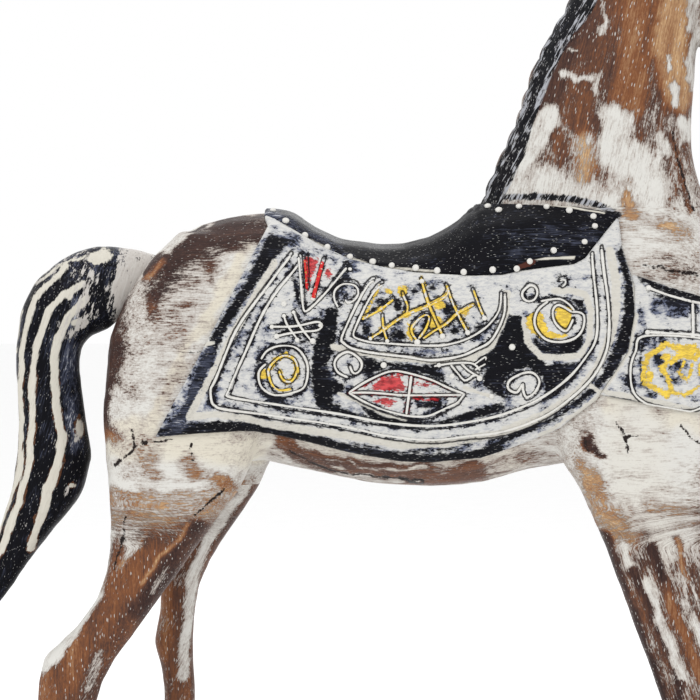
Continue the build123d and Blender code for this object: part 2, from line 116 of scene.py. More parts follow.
def polygon_distance(x, z, corners):
    """Signed distance in the side view to a closed outline, negative inside."""
    closed = list(corners) + [corners[0]]
    inside = np.zeros(len(x), bool)
    for (x0, z0), (x1, z1) in zip(closed[:-1], closed[1:]):
        if z0 == z1:
            continue
        crosses = (z0 > z) != (z1 > z)
        inside ^= crosses & (x < (x1 - x0) * (z - z0) / (z1 - z0) + x0)
    return np.where(inside, -1, 1) * line_distance(x, z, closed)


def disc_distance(x, z, disc):
    """Rough signed distance to an ellipse: middle x, middle z, half sizes."""
    cx, cz, rx, rz = disc
    return (np.hypot((x - cx) / rx, (z - cz) / rz) - 1) * min(rx, rz)


def smooth_line(points, spacing):
    """Points on a Catmull-Rom curve through the given ones, about spacing mm apart.

    A line that ends where it starts is a closed one, and its first point isn't repeated.
    """
    closed = points[0] == points[-1]
    pts = [np.array(p, float) for p in (points[:-1] if closed else points)]
    ring = [pts[-1]] + pts + pts[:2] if closed else [pts[0]] + pts + [pts[-1]]
    out = []
    for before, a, b, after in zip(ring[:-3], ring[1:-2], ring[2:-1], ring[3:]):
        count = max(2, int(np.linalg.norm(b - a) / spacing))
        for t in np.arange(count) / count:
            out.append(
                0.5 * (2 * a + (b - before) * t + (2 * before - 5 * a + 4 * b - after) * t**2
                       + (3 * a - before - 3 * b + after) * t**3)
            )
    if not closed:
        out.append(pts[-1])
    return np.array(out)


# --- meshes ------------------------------------------------------------------


def coordinates(mesh):
    """The mesh's vertices in mm."""
    flat = np.empty(len(mesh.vertices) * 3, np.float32)
    mesh.vertices.foreach_get("co", flat)
    return flat.reshape(-1, 3).astype(float) / MM


def put_coordinates(mesh, points):
    """Moves the mesh's vertices to points in mm."""
    mesh.vertices.foreach_set("co", (points * MM).astype(np.float32).ravel())
    mesh.update()


def normals(mesh):
    """The mesh's vertex normals."""
    flat = np.empty(len(mesh.vertices) * 3, np.float32)
    mesh.vertex_normals.foreach_get("vector", flat)
    return flat.reshape(-1, 3).astype(float)


def edge_pairs(mesh):
    """The two vertices of each edge."""
    flat = np.empty(len(mesh.edges) * 2, np.int32)
    mesh.edges.foreach_get("vertices", flat)
    return flat.reshape(-1, 2)


def neighbour_mean(points, pairs):
    """The mean of each vertex's neighbours."""
    count = np.bincount(pairs.ravel(), minlength=len(points)).clip(1)
    total = np.empty_like(points)
    for axis in range(points.shape[1]):
        total[:, axis] = np.bincount(
            pairs[:, 0], points[pairs[:, 1], axis], len(points)
        ) + np.bincount(pairs[:, 1], points[pairs[:, 0], axis], len(points))
    return total / count[:, None]


def relax(points, pairs, rounds, keep=None):
    """Smooths without shrinking; keep is a share from 0 to 1 that stays put."""
    free = 1.0 if keep is None else (1 - keep)[:, None]
    for _ in range(rounds):
        points = points + free * 0.5 * (neighbour_mean(points, pairs) - points)
        points = points - free * 0.52 * (neighbour_mean(points, pairs) - points)
    return points


def rounded(points, pairs, rounds):
    """Rounds the facets off."""
    for _ in range(rounds):
        points = 0.5 * (points + neighbour_mean(points, pairs))
    return points


def store(mesh, name, values):
    """Stores a number or a vector for each vertex, for the materials to read."""
    kind = "FLOAT" if values.ndim == 1 else "FLOAT_VECTOR"
    layer = mesh.attributes.new(name, kind, "POINT")
    layer.data.foreach_set(
        "value" if values.ndim == 1 else "vector", values.astype(np.float32).ravel()
    )


def shown_mesh(obj):
    """The mesh of an object with its modifiers applied."""
    graph = bpy.context.evaluated_depsgraph_get()
    return bpy.data.meshes.new_from_object(obj.evaluated_get(graph))


def new_object(name, mesh):
    """A new object in the scene."""
    obj = bpy.data.objects.new(name, mesh)
    bpy.context.scene.collection.objects.link(obj)
    return obj


def smooth_shaded(mesh):
    """Shades every face of the mesh smoothly."""
    mesh.polygons.foreach_set("use_smooth", [True] * len(mesh.polygons))


def remeshed(nodes, voxel):
    """One closed skin round several CAD nodes, on a fine even grid."""
    bm = bmesh.new()
    for node in nodes:
        bm.from_mesh(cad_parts[node].data)
    mesh = bpy.data.meshes.new("skin")
    bm.to_mesh(mesh)
    bm.free()
    work = new_object("skin_work", mesh)
    modifier = work.modifiers.new("grid", "REMESH")
    modifier.mode = "VOXEL"
    modifier.voxel_size = voxel * MM
    made = shown_mesh(work)
    bpy.data.objects.remove(work)
    return made


def only_largest(bm):
    """Deletes every island of faces but the largest."""
    left, islands = set(bm.verts), []
    while left:
        todo, island = [left.pop()], []
        while todo:
            vertex = todo.pop()
            island.append(vertex)
            for edge in vertex.link_edges:
                other = edge.other_vert(vertex)
                if other in left:
                    left.remove(other)
                    todo.append(other)
        islands.append(island)
    islands.sort(key=len)
    for island in islands[:-1]:
        bmesh.ops.delete(bm, geom=island, context="VERTS")


def face_centres(mesh):
    """The middles of the mesh's faces in mm."""
    flat = np.empty(len(mesh.polygons) * 3, np.float32)
    mesh.polygons.foreach_get("center", flat)
    return flat.reshape(-1, 3) / MM


def block(source, name, region, planes):
    """The closed piece of a skin inside region, cut along planes (axis, place).

    region(x, y, z, margin) says which points belong to the piece.
    """
    bm = bmesh.new()
    bm.from_mesh(source)
    bm.faces.ensure_lookup_table()
    far = ~region(*face_centres(source).T, CUT_MARGIN)
    bmesh.ops.delete(bm, geom=[bm.faces[i] for i in np.flatnonzero(far)], context="FACES")
    for axis, place in planes:
        normal = [0, 0, 0]
        normal[axis] = 1
        bmesh.ops.bisect_plane(
            bm, geom=bm.verts[:] + bm.edges[:] + bm.faces[:], dist=1e-7,
            plane_co=Vector(normal) * place * MM, plane_no=Vector(normal),
        )
    middles = [face.calc_center_median() / MM for face in bm.faces]
    inside = region(*np.array(middles).T, 0.0)
    outside = [face for face, kept in zip(bm.faces[:], inside) if not kept]
    bmesh.ops.delete(bm, geom=outside, context="FACES")
    only_largest(bm)

    def lies_on(edge, axis, place):
        return all(abs(v.co[axis] / MM - place) < FLAT_TOUCH for v in edge.verts)

    rims = []
    for axis, place in planes:
        rims.append([e for e in bm.edges if e.is_boundary and lies_on(e, axis, place)])
    for first in range(len(planes)):
        for second in range(first):
            shared = {v for e in rims[first] for v in e.verts}
            shared &= {v for e in rims[second] for v in e.verts}
            if len(shared) == 2:
                corner = bm.edges.new(tuple(shared))
                rims[first].append(corner)
                rims[second].append(corner)
    for rim in rims:
        if rim:
            bmesh.ops.triangle_fill(bm, edges=rim, use_beauty=True, use_dissolve=False)
        for edge in rim:
            edge.smooth = False
    bmesh.ops.recalc_face_normals(bm, faces=bm.faces[:])
    mesh = bpy.data.meshes.new(name)
    bm.to_mesh(mesh)
    bm.free()
    smooth_shaded(mesh)
    return new_object(name, mesh)


def field(x, z, base, strokes):
    """A value painted in soft strokes: (value, half width, softness, line)."""
    out = np.full(len(x), float(base))
    for value, width, soft, line in strokes:
        share = smoothstep(width + soft, width - soft, line_distance(x, z, line))
        out += share * (value - out)
    return out


def nearest_shape(x, z, shapes, far=6.0):
    """Signed distance to the nearest painted shape.

    Lines are (half width, points), areas (swelling, outline), discs as in disc_distance.
    """
    found = [np.full(len(x), far)]
    found += [line_distance(x, z, line) - size for size, line in shapes.get("lines", ())]
    found += [polygon_distance(x, z, area) - size for size, area in shapes.get("areas", ())]
    found += [disc_distance(x, z, disc) for disc in shapes.get("discs", ())]
    return np.minimum.reduce(found)


# --- the carved body ---------------------------------------------------------

CREST = [
    (40, 308), (47.5, 320.5), (52, 329.5), (56, 337.5), (62, 351.5), (67.5, 369), (74.5, 386.5),
    (83, 399), (94.7, 424), (108, 447), (117, 458), (126, 467),
]
MANE = CREST + [(137, 470), (140, 455), (129, 449), (117, 437), (102, 415), (91, 393),
                (81.5, 381), (74.5, 366), (68.5, 350), (63.5, 334), (58, 322), (54, 312)]
SEAT_FRONT_LINE = [(42, 315), (52, 316.8), (70, 317.2), (84, 316.2), (95, 313.8), (103, 309.5)]
FORELOCK = [
    (140, 478), (150, 470), (163, 466), (169, 457), (166, 452), (157, 458), (146, 462), (138, 462),
]
# ridges left by the knife: half width, height, line
RIDGES = [
    (9, 1.1, [(-76, 184), (-88, 168), (-98, 155), (-107, 138), (-118, 125)]),
    (7, 0.8, [(-93, 183), (-100, 172), (-106, 160)]),
    (7, 0.9, [(108, 176), (113, 150), (118, 120), (120, 90)]),
    (8, 0.8, [(88, 330), (103, 352), (112, 380), (118, 405), (124, 425)]),
    (7, 0.8, [(120, 320), (122, 345), (124, 372)]),
    (6, 0.7, [(150, 440), (152, 425), (160, 405), (166, 390)]),
]
# knife cuts: half width, depth, line
GROOVES = [
    (1.1, 0.7, [(118, 350), (121, 338), (127, 327), (137, 318)]),
    (0.9, 0.5, [(104, 185), (107, 178), (108, 172)]), (1.0, 0.6, [(113, 288), (125, 286), (137, 285)]),
    (1.0, 0.8, [(138, 436), (135, 424), (137, 410), (143, 399)]),
    (0.9, 0.5, [(155, 376), (164, 375.6), (176, 377)]),
]
# soft hollows behind the muzzle and down the face: half width, depth, line
HOLLOWS = [(9, 1.9, [(171, 432), (175, 404)]), (10, 2.2, [(146, 400), (163, 395)])]
# places on the head are written as in disc_distance
CHEEK = (149.5, 425, 10.5, 13)
NOSTRIL_FLARE = (168.5, 385.5, 6.5, 5)
FACE_X = 158.0  # the face lies in front of this
DISH = (2.4, 408, 26)  # depth, height and half length of the dished face
EYE = (161.5, 441, 4.6, 2.6)
NOSTRIL = (169.5, 385.5, 2.6, 2.0)
GOUGE_MARKS = [(0.20, 7.0, 1), (0.11, 3.2, 2)]  # height, size, seed; long in the grain
GRAIN_STRETCH = (1.6, 1, 1)
SURFACE_WAVE = (0.28, 17.0, 3)
NOTCH_PITCH = 10.5  # between the notches in the mane's crest


def cuts(x, z, marks):
    """The height of V-shaped ridges or grooves: half width, height, line."""
    for width, height, line in marks:
        yield height, np.clip(1 - line_distance(x, z, line) / width, 0, 1)


def carve(points, norms):
    """Moves the skin's points by the knife and gouge marks of the carver."""
    x, y, z = points.T
    side = np.clip(np.abs(norms[:, 1]) * 1.6, 0, 1)
    stretched = points / np.array(GRAIN_STRETCH)
    move = np.zeros(len(points))
    for height, size, seed in GOUGE_MARKS:
        move += height * value_noise(stretched, size, seed)
    height, size, seed = SURFACE_WAVE
    move += height * value_noise(points, size, seed)
    for height, share in cuts(x, z, RIDGES):
        move += side * height * share**1.5
    for depth, share in cuts(x, z, GROOVES):
        move -= side * depth * share
    for width, depth, line in HOLLOWS:
        move -= side * depth * smoothstep(width, 0.3 * width, line_distance(x, z, line))
    move += side * 1.2 * smoothstep(0.8, -0.8, disc_distance(x, z, CHEEK))
    move += side * 1.0 * smoothstep(1.5, -3.5, disc_distance(x, z, NOSTRIL_FLARE))
    eye = disc_distance(x, z, EYE)
    move += side * (0.8 * smoothstep(2.2, 1.2, eye) - 0.8 * smoothstep(0.9, -0.2, eye))
    front = np.clip(1.4 * norms[:, 0], 0, 1) * (x > FACE_X)
    depth, middle, half = DISH
    move -= front * depth * smoothstep(half, 4, np.abs(z - middle))
    mane = polygon_distance(x, z, MANE)
    lock = polygon_distance(x, z, FORELOCK)
    on = smoothstep(0.5, -0.6, np.minimum(mane, lock))
    strand = x * 0.94 - z * 0.34 + 2.5 * value_noise(points, 12, 5)
    move += on * (0.65 + 0.20 * np.sin(strand * 2.1))
    crest = line_distance(x, z, CREST)
    notch = (z + 0.35 * x) * math.pi / NOTCH_PITCH + value_noise(points, 20, 6)
    notch = np.abs(np.sin(notch))
    move += smoothstep(6, 0, crest) * (notch**0.7 - 0.75) * 1.1
    return points + norms * move[:, None]


def carved_skin(voxel, rounds):
    """The body's whole skin, with its facets rounded off and then carved."""
    mesh = remeshed(BODY_NODES, voxel)
    pairs = edge_pairs(mesh)
    points = rounded(relax(coordinates(mesh), pairs, 5), pairs, rounds)
    put_coordinates(mesh, points)
    points = carve(points, normals(mesh))
    points[:, 2] = np.maximum(points[:, 2], 0)
    put_coordinates(mesh, points)
    return mesh


skin = carved_skin(BODY_VOXEL, SKIN_ROUNDS)


def leg_region(front, left):
    """Which points belong to one of the four legs."""
    return lambda x, y, z, m: (
        (z < LEG_JOINT_Z + m) & ((x > MIDDLE_X) == front) & ((y > 0) == left)
    )


def jaw(x, z, m):
    """Which points lie in front of the throat, in the head's block."""
    return (x > JAW_X - m) & (z > JAW_LOWEST - m)


# which points belong to each block, widened by the margin m
REGIONS = {
    "torso_lower": lambda x, y, z, m: (z > LEG_JOINT_Z - m) & (z < TRUNK_JOINT_Z + m),
    "torso_upper": lambda x, y, z, m: (z > TRUNK_JOINT_Z - m) & (z < NECK_JOINT_Z + m),
    "neck": lambda x, y, z, m: (
        (z > NECK_JOINT_Z - m) & (z < HEAD_JOINT_Z + m) & ~jaw(x, z, -m)
    ),
    "head": lambda x, y, z, m: (z > HEAD_JOINT_Z - m) | jaw(x, z, m),
}
for front in (False, True):
    for left in (False, True):
        node = ("fore" if front else "hind") + "_leg_" + ("left" if left else "right")
        REGIONS[node] = leg_region(front, left)
PLANES = [(2, LEG_JOINT_Z), (2, TRUNK_JOINT_Z), (2, NECK_JOINT_Z), (2, HEAD_JOINT_Z),
          (0, JAW_X)]

pieces = {}
for node in BODY_NODES:
    planes = PLANES[3:] if node == "head" else PLANES if node == "neck" else PLANES[:4]
    pieces[node] = block(skin, node + "_wood", REGIONS[node], planes)


# --- tail and ears -----------------------------------------------------------

TAIL_LINES = [  # half width, line
    (0.5, [(-121, 293), (-134, 287), (-144, 279), (-149, 268), (-151, 252)]),
    (1.15, [(-129, 288), (-140.5, 276.8), (-145.5, 266), (-148, 253), (-149, 241), (-149, 226),
     (-149, 211), (-150, 198), (-155, 185.5), (-163, 165)]),
    (1.5, [(-122, 281.2), (-129, 276.8), (-136.7, 269.4), (-140.5, 257), (-143.4, 245), (-144, 226),
     (-145.3, 207.6), (-147.8, 192.8), (-152.7, 179.3), (-158, 165), (-168, 146)]),
    (1.8, [(-120.8, 273.8), (-128, 265.9), (-132.5, 257), (-134.2, 247), (-133.6, 231), (-131.3, 216.3),
     (-133, 204), (-138, 189), (-144.7, 168)]),
    (2.2, [(-134, 200), (-138, 189.5), (-141, 181)]),
]


def tail_stripes(x, z):
    """Signed distance to the cream stripes down the tail."""
    return np.minimum.reduce([line_distance(x, z, line) - size for size, line in TAIL_LINES])


def own_skin(node, voxel, rounds):
    """The relaxed skin of a piece that is one CAD node."""
    mesh = remeshed([node], voxel)
    points = relax(coordinates(mesh), edge_pairs(mesh), rounds)
    put_coordinates(mesh, points)
    smooth_shaded(mesh)
    return mesh


tail_skin = own_skin("tail", TAIL_VOXEL, 5)
put_coordinates(tail_skin, rounded(coordinates(tail_skin), edge_pairs(tail_skin), TAIL_ROUNDS))
points, norms = coordinates(tail_skin), normals(tail_skin)
stripe = tail_stripes(points[:, 0], points[:, 2])
move = 0.45 * smoothstep(1.4, -0.3, stripe) * np.clip(np.abs(norms[:, 1]) * 1.5, 0, 1)
move += 0.18 * value_noise(points, 6.0, 11) + 0.10 * value_noise(points, 2.6, 12) + 0.65
put_coordinates(tail_skin, points + norms * move[:, None])
pieces["tail"] = new_object("tail_wood", tail_skin)
for side in ("right", "left"):
    ear_skin = own_skin("ear_" + side, EAR_VOXEL, 3)
    pieces["ear_" + side] = new_object("ear_" + side + "_wood", ear_skin)

# --- saddlery ----------------------------------------------------------------

SEAT_LOWER_EDGE = [
    (-45.5, 308), (-41, 306.5), (-32.5, 301.5), (-22, 295.3), (-9.5, 289.8), (3, 287), (16, 285.2),
    (28.5, 284.4), (41, 284.2), (54, 284.6), (62.5, 286.4), (73, 287.7), (84, 289), (88.5, 291.5),
    (97.5, 302), (103, 308.5),
]
SEAT_UPPER_EDGE = [(95.6, 311.2), (84, 313), (45.5, 313), (45.5, 330), (-45.5, 330)]
BLANKET_SHOULDER = [(104, 296)]
STRAP_START_EDGE = [(107.5, 285), (109, 280), (109, 268), (106.5, 252.8), (96, 236.5), (95, 235)]
BLANKET_LOWER_EDGE = [
    (93.5, 232.7), (79, 221.3), (59, 213.4), (45, 208.7), (25, 207.1), (11.5, 207.5), (-9.5, 211.3),
    (-26.3, 215.5), (-43, 219.2), (-56, 220), (-72.5, 219.2), (-90.5, 217.6), (-43.9, 304),
]
STRAP_FREE_EDGE = [(99.8, 234), (137.6, 227), (170, 221), (170, 269), (137.6, 275)]
SEAT = SEAT_LOWER_EDGE + SEAT_UPPER_EDGE
BLANKET = SEAT_LOWER_EDGE + BLANKET_SHOULDER + STRAP_START_EDGE + BLANKET_LOWER_EDGE
STRAP = STRAP_START_EDGE + STRAP_FREE_EDGE
SHEET_SOLE = 0.25  # how far a sheet reaches into the wood under it, mm
RIM_WIDTH = 1.4  # of a sheet's rounded edge, mm
RIM_HEIGHT = 0.62  # of the full height, at a sheet's rounded edge


def outline_value(points, outline, side):
    """Signed distance to the outline, and past the middle of the horse for one flank."""
    value = polygon_distance(points[:, 0], points[:, 2], outline)
    return np.maximum(value, -points[:, 1] * side) if side else value


def skin_patch(outline, side):
    """The finely divided part of the skin near an outline."""
    bm = bmesh.new()
    bm.from_mesh(under_skin)
    bm.faces.ensure_lookup_table()
    x, y, z = face_centres(under_skin).T
    near = (polygon_distance(x, z, outline) < CUT_MARGIN) & (z > LEG_JOINT_Z + 5)
    if side:
        near &= y * side > -2
    away = [bm.faces[i] for i in np.flatnonzero(~near)]
    bmesh.ops.delete(bm, geom=away, context="FACES")
    bmesh.ops.subdivide_edges(bm, edges=bm.edges[:], cuts=1, use_grid_fill=True)
    rough = np.array([v.co for v in bm.verts]) / MM
    rim = polygon_distance(rough[:, 0], rough[:, 2], outline) > -1.5
    if side:
        rim |= rough[:, 1] * side < 1.5
    at_rim = [f for f in bm.faces if any(rim[v.index] for v in f.verts)]
    bmesh.ops.triangulate(bm, faces=at_rim)
    mesh = bpy.data.meshes.new("patch")
    bm.to_mesh(mesh)
    bm.free()
    return mesh


def cut_patch(mesh, outline, side):
    """The patch's points, distances and faces inside the outline.

    Vertices next to the outline slide onto it, so the cut edge is smooth.
    """
    pairs = edge_pairs(mesh)
    points = relax(coordinates(mesh), pairs, 2)
    value = outline_value(points, outline, side)
    a, b = pairs.T
    crossing = value[a] * value[b] < 0
    a, b = a[crossing], b[crossing]
    share = value[a] / (value[a] - value[b])
    meeting = points[a] + share[:, None] * (points[b] - points[a])
    mover = np.where(share < 0.5, a, b)
    length = np.minimum(share, 1 - share)
    order = np.argsort(-length)
    points[mover[order]] = meeting[order]
    value[mover] = 0

    faces = [tuple(p.vertices) for p in mesh.polygons]
    corner_values = [[value[i] for i in face] for face in faces]
    faces = [f for f, v in zip(faces, corner_values) if max(v) <= 0 and min(v) < 0]
    used = sorted({i for face in faces for i in face})
    renumber = {old: new for new, old in enumerate(used)}
    faces = [tuple(renumber[i] for i in face) for face in faces]
    return points[used], value[used], faces


def saddlery(name, outline, thickness, side):
    """A closed carved layer on the skin inside a side-view outline.

    side is -1 or 1 for one flank and 0 for both. Gives the object and, for each
    vertex, its place on the skin.
    """
    patch = skin_patch(outline, side)
    points, value, faces = cut_patch(patch, outline, side)
    bpy.data.meshes.remove(patch)
    sheet = bpy.data.meshes.new("sheet")
    sheet.from_pydata((points * MM).tolist(), [], faces)
    outward = normals(sheet)
    sheet_pairs = edge_pairs(sheet)
    bpy.data.meshes.remove(sheet)
    for _ in range(3):
        outward = outward + neighbour_mean(outward, sheet_pairs)
        outward /= np.linalg.norm(outward, axis=1)[:, None]
    depth = np.clip(-value / RIM_WIDTH, 0, 1)
    rise = np.sqrt(1 - (1 - depth) ** 2)
    height = thickness * (RIM_HEIGHT + (1 - RIM_HEIGHT) * rise)
    rim_edges = {}
    for face in faces:
        for a, b in zip(face, face[1:] + face[:1]):
            if rim_edges.pop((b, a), None) is None:
                rim_edges[a, b] = True
    count = len(points)
    walls = [(b, a, a + count, b + count) for a, b in rim_edges]
    under = [tuple(i + count for i in reversed(face)) for face in faces]
    sole = points - outward * SHEET_SOLE
    mesh = bpy.data.meshes.new(name)
    top = points + outward * height[:, None]
    mesh.from_pydata((np.vstack([top, sole]) * MM).tolist(), [], faces + under + walls)
    smooth_shaded(mesh)
    mesh.update()
    return new_object(name, mesh), np.vstack([points, points])


def ray_tree(objects):
    """The surfaces of some objects, ready for rays to meet."""
    vertices, faces = [], []
    for obj in objects:
        start = len(vertices)
        vertices += [v.co.copy() for v in obj.data.vertices]
        faces += [[start + i for i in p.vertices] for p in obj.data.polygons]
    return BVHTree.FromPolygons(vertices, faces)


under_skin = carved_skin(SADDLERY_VOXEL, UNDER_SKIN_ROUNDS)
SHEETS = {  # outline, thickness, side
    "saddle_seat": (SEAT, 2.4, 0),
    "blanket_right": (BLANKET, 2.2, -1),
    "blanket_left": (BLANKET, 2.2, 1),
    "breast_strap": (STRAP, 2.2, 0),
}
sheets = {node: saddlery(node + "_paint", *how) for node, how in SHEETS.items()}
pieces.update({node: obj for node, (obj, place) in sheets.items()})
for node, obj in pieces.items():
    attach(obj, "root")
    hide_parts(node)

# --- painted pattern ---------------------------------------------------------
# Curves are the raised white piping, with painted shade in the crevice on both of its sides.

PIPING = [  # half width, line; a closed line repeats its first point
    (0.62, [(-34.5, 292.5), (-44, 280), (-56.5, 262.5), (-65.5, 241.5), (-67.5, 237.5), (-67, 232),
     (-65.5, 230.5), (-61.5, 229), (-37, 225.5), (-13, 222), (5, 218), (24, 216), (39.5, 217.5),
     (55, 219.5), (70, 225), (81.5, 232.5), (91.5, 242), (97, 252), (98.5, 262.5), (98, 274),
     (96.5, 285.5), (95.5, 295.5)]),
    (0.6, [(-31.5, 288.5), (-44, 272), (-53, 253), (-60, 237), (-59, 234), (-37, 230.5), (-13.5, 227),
     (5, 223.5), (24, 222), (39.5, 223.5), (55, 227), (70, 233.5), (81.5, 242), (89, 251), (93, 258.5),
     (93.5, 270), (92, 285.5), (91.5, 293)]),
    (0.52, [(-31, 292), (-30, 281.5), (-29, 271.5), (-27.5, 270), (-21, 276), (-11, 287.5)]),
    (0.5, [(-14.5, 271.5), (-16, 274.5), (-16, 278), (-13.5, 280.5), (-10.5, 281), (-7, 280), (-6, 277),
     (-7.5, 274.5), (-10.5, 273), (-11.5, 274.5)]),
    (0.5, [(-33, 269.5), (-30.5, 264), (-25.5, 257.5)]),
    (0.5, [(-37, 268), (-35.5, 264), (-31.5, 258.5)]),
    (0.5, [(-42, 263.5), (-35.5, 263.5), (-30.5, 264), (-23, 265.5), (-21, 264), (-23, 262),
     (-28.5, 261.5), (-32.5, 261), (-36, 260.5), (-40, 259.5)]),
    (0.5, [(-44.5, 248), (-47.5, 244.5), (-46.5, 238.5), (-41, 235), (-33.5, 236), (-28.5, 238.5),
     (-27, 245.5), (-28.5, 251), (-32.5, 255), (-39, 255.5), (-44, 253.5), (-46.5, 250)]),
    (0.55, [(-10.5, 242.5), (-14.5, 244.5), (-16, 248), (-14.5, 251), (-10.5, 253), (-6.5, 251),
     (-4.5, 248), (-5.5, 245), (-8, 244), (-9.5, 247)]),
    (0.55, [(0.5, 282), (-2, 280.5), (-7.5, 271), (-13, 259), (-12.5, 257), (-7.5, 254), (4, 252),
     (13.5, 251), (24, 249.5), (35.5, 251), (43, 254), (49.5, 258), (54.5, 268), (55, 276.5)]),
    (0.5, [(4, 280.5), (0, 277), (-4.5, 269), (-8, 261), (-7.5, 259), (-1, 257), (6, 256.5),
     (13.5, 256), (24, 255.5), (31, 256), (39.5, 258.5), (47.5, 263.5), (52.5, 270), (53.5, 277)]),
    (0.5, [(-10, 236), (-4, 240), (3, 243.5), (8, 245), (13.5, 244.5), (24, 241.5), (31.5, 238),
     (38, 235.5)]),
    (0.5, [(-10, 236), (-4, 232.5), (4, 229), (13.5, 226.5), (20, 226), (24, 226.5), (30.5, 229.5),
     (35.5, 232), (38, 235.5)]),
    (0.45, [(-9, 236), (0, 236), (13.5, 235), (30.5, 235), (37, 235)]),
    (0.55, [(16, 243), (15, 235), (14, 227)]),
    (0.5, [(25.5, 247), (31, 248), (37, 248.5), (42, 248), (44.5, 245.5)]),
    (0.5, [(32.5, 247.5), (35.5, 244), (38.5, 241), (42.5, 243.5), (44.5, 242)]),
    (0.45, [(37, 248), (39.5, 245.5), (42.5, 243.5)]), (0.45, [(42, 247.5), (47, 251), (47, 249.5)]),
    (0.45, [(42.5, 245.5), (47, 248)]),
    (0.55, [(73, 274), (68.5, 270), (67.5, 264), (71.5, 258.5), (77.5, 257), (84, 258.5), (87.5, 262.5),
     (88, 268), (85.5, 269.5), (83, 269.5)]),
    (0.5, [(83, 269.5), (77.5, 272.5), (75, 270), (76, 265), (80.5, 261.5), (83.5, 266.5)]),
    (0.45, [(70, 274), (77.5, 275), (82, 272.5), (84, 270)]),
    (0.5, [(65.5, 280.5), (68, 279.5), (68.5, 277), (67, 274.5), (64.5, 274), (62.5, 275.5),
     (62.5, 278), (65.5, 280.5)]),
    (0.45, [(78, 282.5), (80, 283), (80.5, 281.5), (79, 280)]),
    (0.6, [(62.5, 237.5), (64, 234), (67.5, 236), (69.5, 240.5), (67, 244), (62.5, 244), (57, 241),
     (56.5, 237.5), (60, 236), (62.5, 239.5), (62.5, 237.5)]),
]
YELLOW_PIPING = [
    (0.5, [(-31, 244.5), (-32.5, 250), (-37, 251.5), (-41, 249), (-43.5, 245), (-42, 239.5), (-39, 237),
     (-34, 237.5)]),
    (0.5, [(-39, 245), (-37.5, 241.5), (-34.5, 240.5), (-32.5, 242.5), (-31.5, 245.5)]),
    (0.55, [(20.5, 282), (23.5, 272), (28.5, 261), (29, 259.5)]),
    (0.5, [(-4.5, 266.5), (2.5, 270), (8.5, 274.5)]),
    (0.5, [(-1, 258.5), (4.5, 262), (13.5, 268), (23.5, 272), (30.5, 276), (31.5, 279.5)]),
    (0.5, [(4, 267.5), (4.5, 262.5), (6, 257.5)]), (0.5, [(12.5, 276.5), (14.5, 272), (14, 268)]),
    (0.5, [(18.5, 257.5), (16, 262.5), (21, 268), (23.5, 267.5), (22, 262.5), (19, 258.5)]),
    (0.5, [(21, 258.5), (26, 262), (30.5, 264.5), (35.5, 269), (42, 272.5)]),
    (0.5, [(31, 280), (34, 271.5), (39.5, 261)]), (0.5, [(42, 278.5), (44.5, 271.5), (46.5, 267)]),
]
RED_PIPING = [(0.85, [(-21, 290), (-25, 275)]), (0.5, [(-28.5, 291), (-28, 285.5), (-27.5, 279)])]
STRAP_PIPING = [
    (0.6, [(115, 279.5), (123, 276.5), (132, 274), (136.5, 273), (142.5, 271.5)]),
    (0.55, [(133.5, 273), (133.5, 260)]),
    (0.6, [(114.5, 261), (133.5, 260), (137.5, 259), (142.5, 258)]),
    (0.55, [(113.5, 259.5), (109.5, 253), (107.5, 246.5), (108, 238), (111.5, 233), (119.5, 229.5),
     (130.5, 228), (136.5, 229.5), (140, 232.5), (142, 240), (141, 252), (139, 258), (113.5, 259.5)]),
]
BEADS = [
    (-9.5, 287, 0.9), (-37, 273, 1.2), (-42, 263.5, 1.0), (-40, 259.5, 1.2), (-37, 268, 0.9),
    (-33, 269.5, 0.9), (-31.5, 258, 1.1), (-25, 257.5, 1.2), (-22, 264, 0.9), (4.5, 247.5, 1.3),
    (27.5, 247.5, 1.0), (44.5, 242, 1.2), (33, 243, 1.2), (49.5, 234.5, 1.1), (58, 255, 1.4),
    (20.5, 282, 1.1), (29, 259.5, 1.3), (-1, 258.5, 0.9), (6, 257.5, 1.0), (18.5, 257, 1.3),
    (39.5, 261, 1.2), (46.5, 267, 1.2), (-25, 275, 1.0),
]
# On the chest itself, places are (y, z) as seen from the front.
FRONT_PIPING = [
    (0.55, [(0, 263), (9, 261), (14.5, 255), (15.5, 247), (13, 239), (7, 234), (0, 232.5), (-7, 234),
     (-13, 239), (-15.5, 247), (-14.5, 255), (-9, 261), (0, 263)]),
    (0.5, [(4, 249), (3, 253.5), (-3, 254.5), (-7.5, 250), (-7.5, 243.5), (-2, 239), (5, 240),
     (9, 245.5), (8.5, 252)]),
    (0.55, [(21, 264), (21, 233)]), (0.55, [(-21, 264), (-21, 233)]),
]
FRONT_YELLOW = {
    "lines": [
        (1.0, [(4, 249), (3, 253.5), (-3, 254.5), (-7.5, 250), (-7.5, 243.5), (-2, 239), (5, 240),
         (9, 245.5), (8.5, 252)]),
    ],
    "discs": [
        (0, 246, 2.6, 2.2),
    ],
}
FRONT_BLACK = {
    "discs": [
        (11.5, 237, 1.8, 0.9), (-11.5, 257.5, 1.8, 0.9), (4.5, 244, 1.0, 1.4), (0, 251, 1.6, 0.8),
    ],
}
FRONT_BEADS = [
    (0, 258.6, 1.1), (0, 236, 1.1), (11.6, 248, 1.0), (-11.6, 248, 1.0), (21, 264.5, 1.1),
    (-21, 264.5, 1.1), (21, 232.5, 1.1), (-21, 232.5, 1.1),
]
FRONT_X = 146.0  # the strap's pattern in front of this is the chest's
PIPING_SCALE = 0.88  # the squeezed lines against the half widths in the tables
DROP_HEIGHT = 0.62  # of a drop's radius
SEAT_DOT = 1.42
RAY_START, RAY_START_X = 90, 300  # outside the horse, beside it and in front of it
STRAP_BEADS = [(115, 279.5, 1.2), (133.5, 259.5, 1.0), (114.5, 261, 1.1)]
